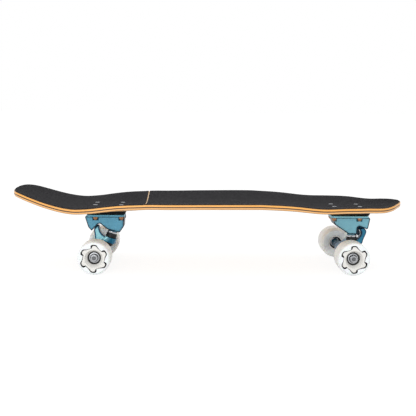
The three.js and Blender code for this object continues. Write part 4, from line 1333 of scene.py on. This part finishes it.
def carve_hanger(hanger, truck, trucks):
    """Adds the ring, link, beam and nose to a hanger's arm, and drills the casting"""
    half = trucks.ring_width / 2
    stack = stack_heights(truck, trucks)
    kingpin = kingpin_matrix(truck)
    root, front, tip = truck.reach * 0.8, truck.reach + 5.5, truck.reach + 7
    nose = [(0, root), (3.8, root), (3.8, front), (2.3, tip), (0, tip)]
    add_shapes(
        hanger,
        [
            rod(trucks.ring, -half, half, kingpin, 1.6),
            plate(link_outline(truck), 30, 5, 4),
            beam_shape(truck, trucks),
            moved(revolve(nose, 32), steer_matrix(truck)),
        ],
    )
    cast(hanger, 0.6, 5, 0.35)
    low = stack.low - 2
    nut_room = [(0, low), (9.4, low), (9.4, stack.nut_high), (11.9, -half), (0, -half)]
    cut(hanger, rod(7.5, -half - 2, half + 2, kingpin))
    cut(hanger, pocket(rod_profile(trucks.bushing + 1.2, half, stack.seat + 2), kingpin))
    cut(hanger, pocket(nut_room, kingpin))
    cut(hanger, rod(4.3, -trucks.hanger, trucks.hanger, across_matrix(truck), steps=32))


def mark_arm(hanger, truck, trucks):
    """Marks the rims of a hanger's arm for painted shade and its middle for a painted highlight, but
    for the rims that the link covers
    """
    arm, link = arm_outline(truck), link_outline(truck)
    xs, zs = [point.x for point in arm], [point.y for point in arm]
    half = trucks.arm / 2 + 0.6
    lattice(hanger, (min(xs) - 1, -half, min(zs) - 1), (max(xs) + 1, half, max(zs) + 1))
    edges = list(zip(arm, arm[1:] + arm[:1]))
    free = ~inside(np.array([(a + b) / 2 for a, b in edges]), link)
    edges = [edge for edge, kept in zip(edges, free) if kept]
    mark_rims(hanger, edges, 4, half, within=arm, plain_mark=0.3)


class SURF_OT_hangers(Operator):
    """Cast the hangers"""

    bl_idname = "surf.hangers"
    bl_label = "Hangers"

    def execute(self, context):
        trucks = in_mm(context.scene.surf_truck)
        for end in ENDS:
            truck = TRUCKS[end]
            shape = plate(arm_outline(truck), trucks.arm, 4.2, 4)
            hanger = piece(f"cast_hanger_{end}", shape, finish_named(f"hanger_{end}"))
            carve_hanger(hanger, truck, trucks)
            mark_arm(hanger, truck, trucks)
            hanger.matrix_world = truck_matrix(end)
            sharpen(hanger)
            stand_in(hanger, "hanger_metal", f"hanger_{end}")
        return {"FINISHED"}


def hexagon(width, cap=None):
    """Radius of a hexagon at an angle, at most a cap"""

    def radius(angle):
        sector = (angle + math.pi / 6) % (math.pi / 3) - math.pi / 6
        reach = width / 2 / math.cos(sector)
        return min(reach, cap) if cap else reach

    return radius


class SURF_OT_kingpins(Operator):
    """Stack the kingpins, bushings, washers, nuts and pivot cups"""

    bl_idname = "surf.kingpins"
    bl_label = "Kingpins"

    def execute(self, context):
        trucks = in_mm(context.scene.surf_truck)
        for end in ENDS:
            truck = TRUCKS[end]
            stack = stack_heights(truck, trucks)
            at_ring = truck_matrix(end) @ kingpin_matrix(truck, MM)
            at_pivot = truck_matrix(end) @ steer_matrix(truck, MM)
            made = {
                "kingpin": (kingpin_shape(stack, trucks), "steel", "steel"),
                "bushing_upper": (upper_bushing(stack, truck, trucks), "bushing", "bushing_rubber"),
                "bushing_lower": (lower_bushing(stack, trucks), "bushing", "bushing_rubber"),
                "washer_upper": (cup_washer(stack, trucks), "steel", "steel"),
                "kingpin_nut": (kingpin_nut(stack, trucks), "steel", "steel"),
            }
            for name, (shape, finish, slot) in made.items():
                thing = piece(f"turned_{name}_{end}", shape, finish_named(finish), at_ring)
                stand_in(thing, slot, f"{name}_{end}")
            low = stack.lower_low + 0.1
            profile = rod_profile(9.2, low, low + 1.2, 0.4, trucks.kingpin + 0.25)
            washer = revolve(profile, 48, closed=True)
            thing = piece(f"washer_lower_{end}", washer, finish_named("steel"), at_ring)
            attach(thing, "board")
            cup = piece(f"turned_cup_{end}", cup_shape(truck), finish_named("cup"), at_pivot)
            stand_in(cup, "cup_plastic", f"pivot_cup_{end}")
        return {"FINISHED"}


def threads(radius, low, high, pitch=1.25, depth=0.35):
    """Profile of a thread's ridges, from high down to low"""
    points = []
    height = high
    while height > low + pitch:
        points += [(radius, height), (radius - depth, height - pitch / 2)]
        height -= pitch
    return points + [(radius, height)]


def kingpin_shape(stack, trucks):
    """Kingpin with its hexagonal head and threaded tip"""
    radius, top = trucks.kingpin, stack.top
    width, cap, height = 13.4, 7, 5
    profile = [
        (0, top), (hexagon(width, cap), top), (hexagon(width), top - 0.5),
        (hexagon(width), top - height), (radius, top - height), (radius, stack.nut_high),
    ]
    profile += threads(radius, stack.low + 0.5, stack.nut_high)
    profile += [(radius - 0.8, stack.low), (0, stack.low)]
    return revolve(profile, 48)


def bushing_shape(trucks, side, low, high):
    """Bushing with a bore, from its side's outline"""
    bore = trucks.kingpin + PLAY
    return revolve([(bore, low), *curve_through(side, 3), (bore, high)], 56, closed=True)


def upper_bushing(stack, truck, trucks):
    """Barrel bushing between the ring and the base"""
    low, high = stack.upper_low, stack.upper_low + truck.upper_bushing
    wide, narrow = trucks.bushing, 9.9
    side = [
        (wide - 0.7, low), (wide, low + 0.7), (wide, low + 2.4), (wide - 0.35, (low + high) / 2),
        (narrow + 0.25, high - 1), (narrow - 0.4, high),
    ]
    return bushing_shape(trucks, side, low, high)


def lower_bushing(stack, trucks):
    """Cone bushing under the ring"""
    low, high = stack.lower_low + 1.4, stack.lower_high
    side = [
        (7.1, low), (7.6, low + 0.5), (8.6, low + 2.2),
        (10.2, high - 1.8), (10.8, high - 0.7), (10.3, high),
    ]
    return bushing_shape(trucks, side, low, high)


def cup_washer(stack, trucks):
    """Cup washer with a rolled lip"""
    bore, low = trucks.kingpin + PLAY, stack.washer_low
    wall, rim, drop, thickness = 10.3, 10.9, 2, 1.5
    corners = [
        (bore, low), (wall, low), (wall, low - drop),
        (rim, low - drop), (rim, low + thickness), (bore, low + thickness),
    ]
    return revolve(round_corners(corners, 0.5, 3), 64, closed=True)


def kingpin_nut(stack, trucks):
    """Flanged lock nut under the lower bushing"""
    bore, high = trucks.kingpin + PLAY, stack.nut_high
    width, flange, collar, height = 14, 8.3, 6.2, 6.9
    low = high - height
    profile = [
        (bore, high), (flange - 0.2, high), (flange, high - 0.3), (flange, high - 1.1),
        (hexagon(width, 8), high - 1.5), (hexagon(width), high - 1.9),
        (hexagon(width), low + 1.7), (hexagon(width, 7.1), low + 1.2),
        (collar, low + 1.2), (collar, low + 0.4), (collar - 0.4, low), (bore, low),
    ]
    return revolve(profile, 72, closed=True)


def cup_shape(truck):
    """Plastic cup that the hanger's nose turns in"""
    floor, mouth = truck.reach + CUP_FLOOR, truck.reach + 1.2
    inner = 4.1
    outer = inner + CUP_WALL
    corners = [
        (0, floor), (inner, floor), (inner, mouth),
        (outer, mouth), (outer, floor + CUP_WALL), (0, floor + CUP_WALL),
    ]
    return revolve(round_corners(corners, 0.4, 2, closed=False), 40)


# Fasteners


def bolt_shape(length):
    """Countersunk bolt with its head's top at the origin"""
    head, shank, thread_top = 4.85, 2.4, 9 - length
    profile = [(0, 0), (head - 0.25, 0), (head, -0.2), (head, -1), (shank, -3.1), (shank, thread_top)]
    profile += threads(shank, -length + 0.3, thread_top, 0.9, 0.25)
    profile += [(shank - 0.5, -length), (0, -length)]
    return revolve(profile, 40)


def cross_recess():
    """Cross-shaped recess of the bolt heads"""
    shapes = []
    for turn in (0, math.pi / 2):
        arm = plate([(-2.6, 1), (2.6, 1), (1.1, -2), (-1.1, -2)], 0.95, 0)
        shapes.append(moved(arm, Matrix.Rotation(turn + 0.5, 4, "Z")))
    return shapes


def deck_nut_shape(trucks):
    """Lock nut under a base's flange, with its collar below"""
    bore, collar, width = 2.7, 3.4, 8.4
    low = -trucks.flange - PLAY - NUT_HEIGHT
    high = low + NUT_HEIGHT
    profile = [
        (bore, low), (3, low), (collar - 0.1, low + 0.4), (collar, low + 1.6),
        (hexagon(width, 4.2), low + 2), (hexagon(width), low + 2.5),
        (hexagon(width), high - 0.4), (hexagon(width, 4.35), high), (bore, high),
    ]
    return revolve(profile, 48, closed=True)


class SURF_OT_fasteners(Operator):
    """Fit the deck bolts and their nuts"""

    bl_idname = "surf.fasteners"
    bl_label = "Deck bolts and nuts"

    def execute(self, context):
        deck = in_mm(context.scene.surf_deck)
        trucks = in_mm(context.scene.surf_truck)
        for end in ENDS:
            head = TRUCKS[end].riser + 2 * PLAY + deck.wood + TAPE_TOP
            length = head + trucks.flange + PLAY + NUT_HEIGHT + THREAD_TIP
            model = piece("bolt_model", bolt_shape(length), finish_named("bolt"))
            for shape in cross_recess():
                cut(model, shape)
            sharpen(model)
            for number, (x, y) in enumerate(bolt_places(trucks), 1):
                top = truck_matrix(end) @ Matrix.Translation((x * MM, y * MM, head * MM))
                turned = top @ Matrix.Rotation(0.9 * number, 4, "Z")
                bolt = placed(f"bolt_{end}_{number}", model.data, turned)
                stand_in(bolt, "steel", f"deck_bolt_{end}_{number}")
                place = truck_matrix(end) @ Matrix.Translation((x * MM, y * MM, 0))
                shape = deck_nut_shape(trucks)
                nut = piece(f"lock_nut_{end}_{number}", shape, finish_named("copper"), place)
                stand_in(nut, "nut_plating", f"deck_nut_{end}_{number}")
            bpy.data.objects.remove(model)
        return {"FINISHED"}


# Wheels


def lobed(wheel, turn_degrees, shares, grow=0.0):
    """Radius of a lobed outline at an angle, grown by a margin"""
    sector = 2 * math.pi / wheel.lobes
    start = math.pi / 2 - math.radians(turn_degrees)
    (first, first_swing), (last, last_swing) = shares[0], shares[-1]
    table = ((last - 1, last_swing), *shares, (first + 1, first_swing))

    def reach(angle):
        place = ((angle - start) / sector + LOBE_TIP_PLACE) % 1
        return wheel.valley + (wheel.tip - wheel.valley) * table_value(table, place) + grow

    return reach


def wheel_matrix(end, side, wheel):
    """Wheel's frame, in metres, with its outer face up"""
    truck = TRUCKS[end]
    x = truck.bolt_place + truck.facing * truck.axle[0]
    place = Vector((x, SIDES[side] * wheel.place, truck.base_top + truck.axle[1])) * MM
    return Matrix.Translation(place) @ Matrix.Rotation(-SIDES[side] * math.pi / 2, 4, "X")


def second_finish(shape, test):
    """Gives the second finish to the faces whose middle's radius and height pass a test"""
    for face in shape.faces:
        x, y, z = face.calc_center_median()
        face.material_index = 1 if test(math.hypot(x, y), z) else 0
    return shape


def tyre_shape(wheel, turn_degrees):
    """Tyre with a lobed pocket in its outer face"""
    half, radius = wheel.width / 2, wheel.diameter / 2
    bore, pocket_depth, face_drop, painted_shade_radius = 16.3, 9, 0.7, 28.35
    out_face, floor = half - face_drop, half - pocket_depth
    wall = lobed(wheel, turn_degrees, POCKET_SHARES, wheel.groove)
    lip = lobed(wheel, turn_degrees, POCKET_SHARES, wheel.groove + 0.3)
    rim = [(28.5, half), (31.4, 23.2), (32.8, 19.3), (radius, wheel.tread / 2), (radius, 0)]
    shoulder = [(min(point.x, radius), point.y) for point in curve_through(rim, 5)]
    inner = [(reach, -height) for reach, height in reversed(shoulder[:-1])]
    profile = [(bore, floor), (wall, floor), (wall, out_face - 0.4), (lip, out_face)]
    profile += [(28.45, half - 0.1)] + shoulder + inner
    profile += [
        (26.5, -half + 0.15), (24, -half + 1), (20, -half + 2.9),
        (17, -half + 4.2), (bore, -half + 4.6),
    ]
    shape = revolve(profile, 240, closed=True)
    # The walls and floor of the lobed pocket take the second finish, painted shade
    low, high = floor - 0.1, out_face - 0.3
    return second_finish(shape, lambda reach, z: low < z < high and reach < painted_shade_radius)


def core_shape(wheel, turn_degrees):
    """Core with its lobed plate and bearing seats, with painted shade in its groove, its bore and
    round the seats
    """
    half, stop = wheel.width / 2, wheel.spacing / 2
    hub, collar, shelf = 16, 19.2, 9.4
    face, back, inner_face = half - 1.5, half - 8.5, -half + 4.8
    mouth, seat, bore = stop + wheel.bearing_width, wheel.bearing + 0.1, wheel.bore
    edge = lobed(wheel, turn_degrees, LOBE_SHARES)
    plate_rim = lobed(wheel, turn_degrees, LOBE_SHARES, -0.5)
    profile = [
        (bore, inner_face), (hub, inner_face), (hub, back), (edge, back), (edge, face - 0.45),
        (plate_rim, face), (collar, face), (collar - 0.3, face + 0.25), (18.1, face + 0.25),
        (17.5, face - 0.4), (bore + 0.4, mouth + 1.8), (bore, mouth + 1.4), (bore, mouth),
        (seat, mouth), (seat, stop), (shelf, stop), (shelf, -stop), (seat, -stop),
        (seat, -mouth), (bore, -mouth),
    ]

    # Painted shade in the bore, round the bearing seats and in the groove round the plate
    def dark(reach, z):
        in_bore = z < mouth + 1.5 and reach < bore + 0.4
        in_groove = back - 0.1 < z < face - 0.5 and reach > hub + 0.1
        return in_bore or in_groove

    return second_finish(revolve(profile, 240, closed=True), dark)


def bearing_shape(wheel, low):
    """Bearing with its races and shields"""
    high = low + wheel.bearing_width
    bore, outer = wheel.axle + 0.2, wheel.bearing
    shield_inner, shield_outer = 6.1, 8.4
    side = [
        (bore, 0.25), (bore + 0.25, 0), (shield_inner, 0), (6.2, 0.45), (6.5, 0.45), (6.7, 0.3),
        (8, 0.3), (8.2, 0.5), (shield_outer, 0), (outer - 1, 0), (outer - 0.3, 0.5), (outer, 1.4),
    ]
    top = [(radius, high - sink) for radius, sink in side]
    bottom = [(radius, low + sink) for radius, sink in reversed(side)]
    shape = revolve(top + bottom, 64, closed=True)
    return second_finish(shape, lambda reach, _: shield_inner + 0.05 < reach < shield_outer - 0.05)


def nut_shape(wheel, low):
    """Lock nut on the axle, with its collar"""
    bore, width, cap, collar = wheel.axle + 0.15, 13, 6.6, 5.9
    high = low + NUT_HEIGHT
    profile = [
        (bore, low), (hexagon(width, cap), low), (hexagon(width), low + 0.5),
        (hexagon(width), low + 4), (hexagon(width, cap), low + 4.5), (collar, low + 4.6),
        (collar, high - 0.5), (collar - 0.5, high), (bore, high),
    ]
    return revolve(profile, 72, closed=True)


class SURF_OT_wheels(Operator):
    """Pour the tyres round their cores"""

    bl_idname = "surf.wheels"
    bl_label = "Wheels"

    def execute(self, context):
        wheel = in_mm(context.scene.surf_wheel)
        for end in ENDS:
            for side in SIDES:
                label = f"{end}_{side}"
                turn = TRUCKS[end].lobe_turn_degrees * -SIDES[side]
                place = wheel_matrix(end, side, wheel)
                # The second finish of the tyre and of the core is painted shade in their recesses
                skins = [finish_named("urethane"), finish_named("painted_recess_shade")]
                tyre = piece(f"poured_tyre_{label}", tyre_shape(wheel, turn), skins, place)
                stand_in(tyre, "urethane", f"tyre_{label}")
                skins = [finish_named("core"), finish_named("painted_recess_shade")]
                core = piece(f"lobed_core_{label}", core_shape(wheel, turn), skins, place)
                stand_in(core, "core_plastic", f"wheel_core_{label}")
        return {"FINISHED"}


class SURF_OT_bearings(Operator):
    """Press the bearings and spacers into the wheels"""

    bl_idname = "surf.bearings"
    bl_label = "Bearings"

    def execute(self, context):
        wheel = in_mm(context.scene.surf_wheel)
        lows = {"outer": wheel.spacing / 2, "inner": -wheel.spacing / 2 - wheel.bearing_width}
        skins = [finish_named("race"), finish_named("shield")]
        for end in ENDS:
            for side in SIDES:
                label = f"{end}_{side}"
                place = wheel_matrix(end, side, wheel)
                for name, low in lows.items():
                    shape = bearing_shape(wheel, low)
                    bearing = piece(f"bearing_{name}_ring_{label}", shape, skins, place)
                    stand_in(bearing, "steel", f"bearing_{name}_{label}")
                half = wheel.spacing / 2 - 0.1
                tube = revolve(rod_profile(5.6, -half, half, 0.3, 4.2), 40, closed=True)
                spacer = piece(f"spacer_{label}", tube, finish_named("race"), place)
                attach(spacer, f"wheel_{label}")
        return {"FINISHED"}


class SURF_OT_axles(Operator):
    """Fit the axles, speed washers and axle nuts"""

    bl_idname = "surf.axles"
    bl_label = "Axles"

    def execute(self, context):
        wheel = in_mm(context.scene.surf_wheel)
        nut_gap, washer_thickness = 1.3, 1
        mouth = wheel.spacing / 2 + wheel.bearing_width
        half = wheel.place + mouth + nut_gap + NUT_HEIGHT + THREAD_TIP
        washer_lows = {"outer": mouth + 0.15, "inner": -mouth - 0.15 - washer_thickness}
        for end in ENDS:
            x, z = TRUCKS[end].axle
            middle = truck_matrix(end) @ Matrix.Translation((x * MM, 0, z * MM))
            place = middle @ Matrix.Rotation(math.pi / 2, 4, "X")
            upper = [(0, half), (wheel.axle - 0.7, half)] + threads(wheel.axle, half - 13, half - 0.6)
            lower = [(radius, -height) for radius, height in reversed(upper)]
            shape = revolve(upper + lower, 40)
            axle = piece(f"threaded_axle_{end}", shape, finish_named("axle"), place)
            stand_in(axle, "steel", f"axle_{end}")
            for side in SIDES:
                label = f"{end}_{side}"
                place = wheel_matrix(end, side, wheel)
                shape = nut_shape(wheel, mouth + nut_gap)
                nut = piece(f"lock_axle_nut_{label}", shape, finish_named("nut"), place)
                stand_in(nut, "steel", f"axle_nut_{label}")
                for name, low in washer_lows.items():
                    profile = rod_profile(6.9, low, low + washer_thickness, 0.25, 4.15)
                    ring = revolve(profile, 48, closed=True)
                    washer = piece(f"speed_washer_{name}_{label}", ring, finish_named("steel"), place)
                    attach(washer, f"hanger_{end}")
        return {"FINISHED"}


# Stage


def seen_directly(tree):
    """1 for rays from the camera, in mirrors and through glass"""
    path = add_node(tree, "ShaderNodeLightPath").outputs
    rays = {0: path["Is Camera Ray"], 1: path["Is Glossy Ray"]}
    first = add_node(tree, "ShaderNodeMath", rays, operation="MAXIMUM")
    rays = {0: first.outputs[0], 1: path["Is Transmission Ray"]}
    return add_node(tree, "ShaderNodeMath", rays, operation="MAXIMUM").outputs[0]


def mix_shaders(tree, amount, first, second, output):
    """Two shaders mixed and led to an output"""
    inputs = {0: amount, 1: first.outputs[0], 2: second.outputs[0]}
    mix = add_node(tree, "ShaderNodeMixShader", inputs)
    tree.links.new(mix.outputs[0], add_node(tree, output).inputs["Surface"])


def set_world(settings):
    """Even light all round, white where it is seen"""
    world = bpy.data.worlds.new("studio")
    tree = empty_tree(world)
    light = add_node(tree, "ShaderNodeBackground", {"Color": WHITE, "Strength": settings.world})
    white = add_node(tree, "ShaderNodeBackground", {"Color": WHITE, "Strength": 1.0})
    mix_shaders(tree, seen_directly(tree), light, white, "ShaderNodeOutputWorld")
    bpy.context.scene.world = world


def floor_finish(settings):
    """Pale floor that keeps a faint shadow"""
    finish = bpy.data.materials.new("studio_floor")
    tree = empty_tree(finish)
    matt = add_node(tree, "ShaderNodeBsdfDiffuse", {"Color": full(grey(settings.floor))})
    white = add_node(tree, "ShaderNodeEmission", {"Color": WHITE, "Strength": 1.1})
    veil = {0: seen_directly(tree), 1: settings.floor_glow}
    amount = add_node(tree, "ShaderNodeMath", veil, operation="MULTIPLY").outputs[0]
    mix_shaders(tree, amount, matt, white, "ShaderNodeOutputMaterial")
    return finish


def add_softbox(name, place, aim, width, watts):
    """Square area lamp that looks at a point"""
    lamp = bpy.data.lights.new(name, "AREA")
    lamp.shape = "SQUARE"
    lamp.size = width
    lamp.energy = watts
    turn = (Vector(aim) - Vector(place)).to_track_quat("-Z", "Y").to_matrix().to_4x4()
    placed(name, lamp, Matrix.Translation(place) @ turn)


def add_camera(settings):
    """Camera of the photograph"""
    camera = bpy.data.cameras.new("camera")
    camera.lens = settings.focal
    camera.sensor_width = 36
    camera.clip_start = 0.01
    flat, drop = math.cos(settings.pitch), math.sin(settings.pitch)
    ahead = Vector((math.sin(settings.yaw) * flat, math.cos(settings.yaw) * flat, -drop))
    level = ahead.cross(UP).normalized()
    raised = level.cross(ahead)
    right = level * math.cos(settings.roll) + raised * math.sin(settings.roll)
    turn = Matrix((right, right.cross(ahead), -ahead)).transposed().to_4x4()
    place = Matrix.Translation(settings.camera_place)
    bpy.context.scene.camera = placed("camera", camera, place @ turn)


class SURF_OT_stage(Operator):
    """Set the floor, the light and the camera"""

    bl_idname = "surf.stage"
    bl_label = "Studio"

    def execute(self, context):
        settings = context.scene.surf_stage
        set_world(settings)
        floor = bpy.data.meshes.new("floor")
        edge = 30
        corners = [(-edge, -edge, 0), (edge, -edge, 0), (edge, edge, 0), (-edge, edge, 0)]
        floor.from_pydata(corners, [], [(0, 1, 2, 3)])
        floor.materials.append(floor_finish(settings))
        thing = placed("floor", floor)
        key_place, key_aim, key_width = (-0.7, -2.2, 0.75), (0, 0, 0.05), 1.4
        top_place, top_aim, top_width = (0.4, 0.3, 2.2), (0, 0, 0.1), 1.8
        add_softbox("key_light", key_place, key_aim, key_width, settings.key)
        add_softbox("top_light", top_place, top_aim, top_width, settings.top)
        add_camera(settings)
        context.scene.view_settings.view_transform = "Standard"
        return {"FINISHED"}


class SURF_PT_panel(Panel):
    """Sidebar panel with every step"""

    bl_idname = "SURF_PT_panel"
    bl_label = "Surf skateboard"
    bl_space_type = "VIEW_3D"
    bl_region_type = "UI"
    bl_category = "Surf skateboard"

    def draw(self, context):
        for name, _ in GROUPS:
            group = getattr(context.scene, name)
            box = self.layout.box()
            box.label(text=group.bl_rna.description)
            for field in group.__annotations__:
                box.prop(group, field)
        for operator in OPERATORS:
            self.layout.operator(operator.bl_idname)


GROUPS = (
    ("surf_deck", SurfDeckSizes),
    ("surf_truck", SurfTruckSizes),
    ("surf_wheel", SurfWheelSizes),
    ("surf_colours", SurfColours),
    ("surf_stage", SurfStageSettings),
)
OPERATORS = (
    SURF_OT_deck,
    SURF_OT_tape,
    SURF_OT_risers,
    SURF_OT_bases,
    SURF_OT_hangers,
    SURF_OT_kingpins,
    SURF_OT_fasteners,
    SURF_OT_wheels,
    SURF_OT_bearings,
    SURF_OT_axles,
    SURF_OT_stage,
)


def register():
    """Registers the groups, the operators and the panel"""
    for name, group in GROUPS:
        bpy.utils.register_class(group)
        setattr(bpy.types.Scene, name, PointerProperty(type=group))
    for operator in OPERATORS:
        bpy.utils.register_class(operator)
    bpy.utils.register_class(SURF_PT_panel)


def unregister():
    """Takes all of them out again"""
    bpy.utils.unregister_class(SURF_PT_panel)
    for operator in reversed(OPERATORS):
        bpy.utils.unregister_class(operator)
    for name, group in reversed(GROUPS):
        delattr(bpy.types.Scene, name)
        bpy.utils.unregister_class(group)


def main():
    """Builds the board and its studio"""
    register()
    bpy.ops.surf.deck()
    bpy.ops.surf.tape()
    bpy.ops.surf.risers()
    bpy.ops.surf.bases()
    bpy.ops.surf.hangers()
    bpy.ops.surf.kingpins()
    bpy.ops.surf.fasteners()
    bpy.ops.surf.wheels()
    bpy.ops.surf.bearings()
    bpy.ops.surf.axles()
    bpy.ops.surf.stage()


if __name__ == "__main__":
    main()
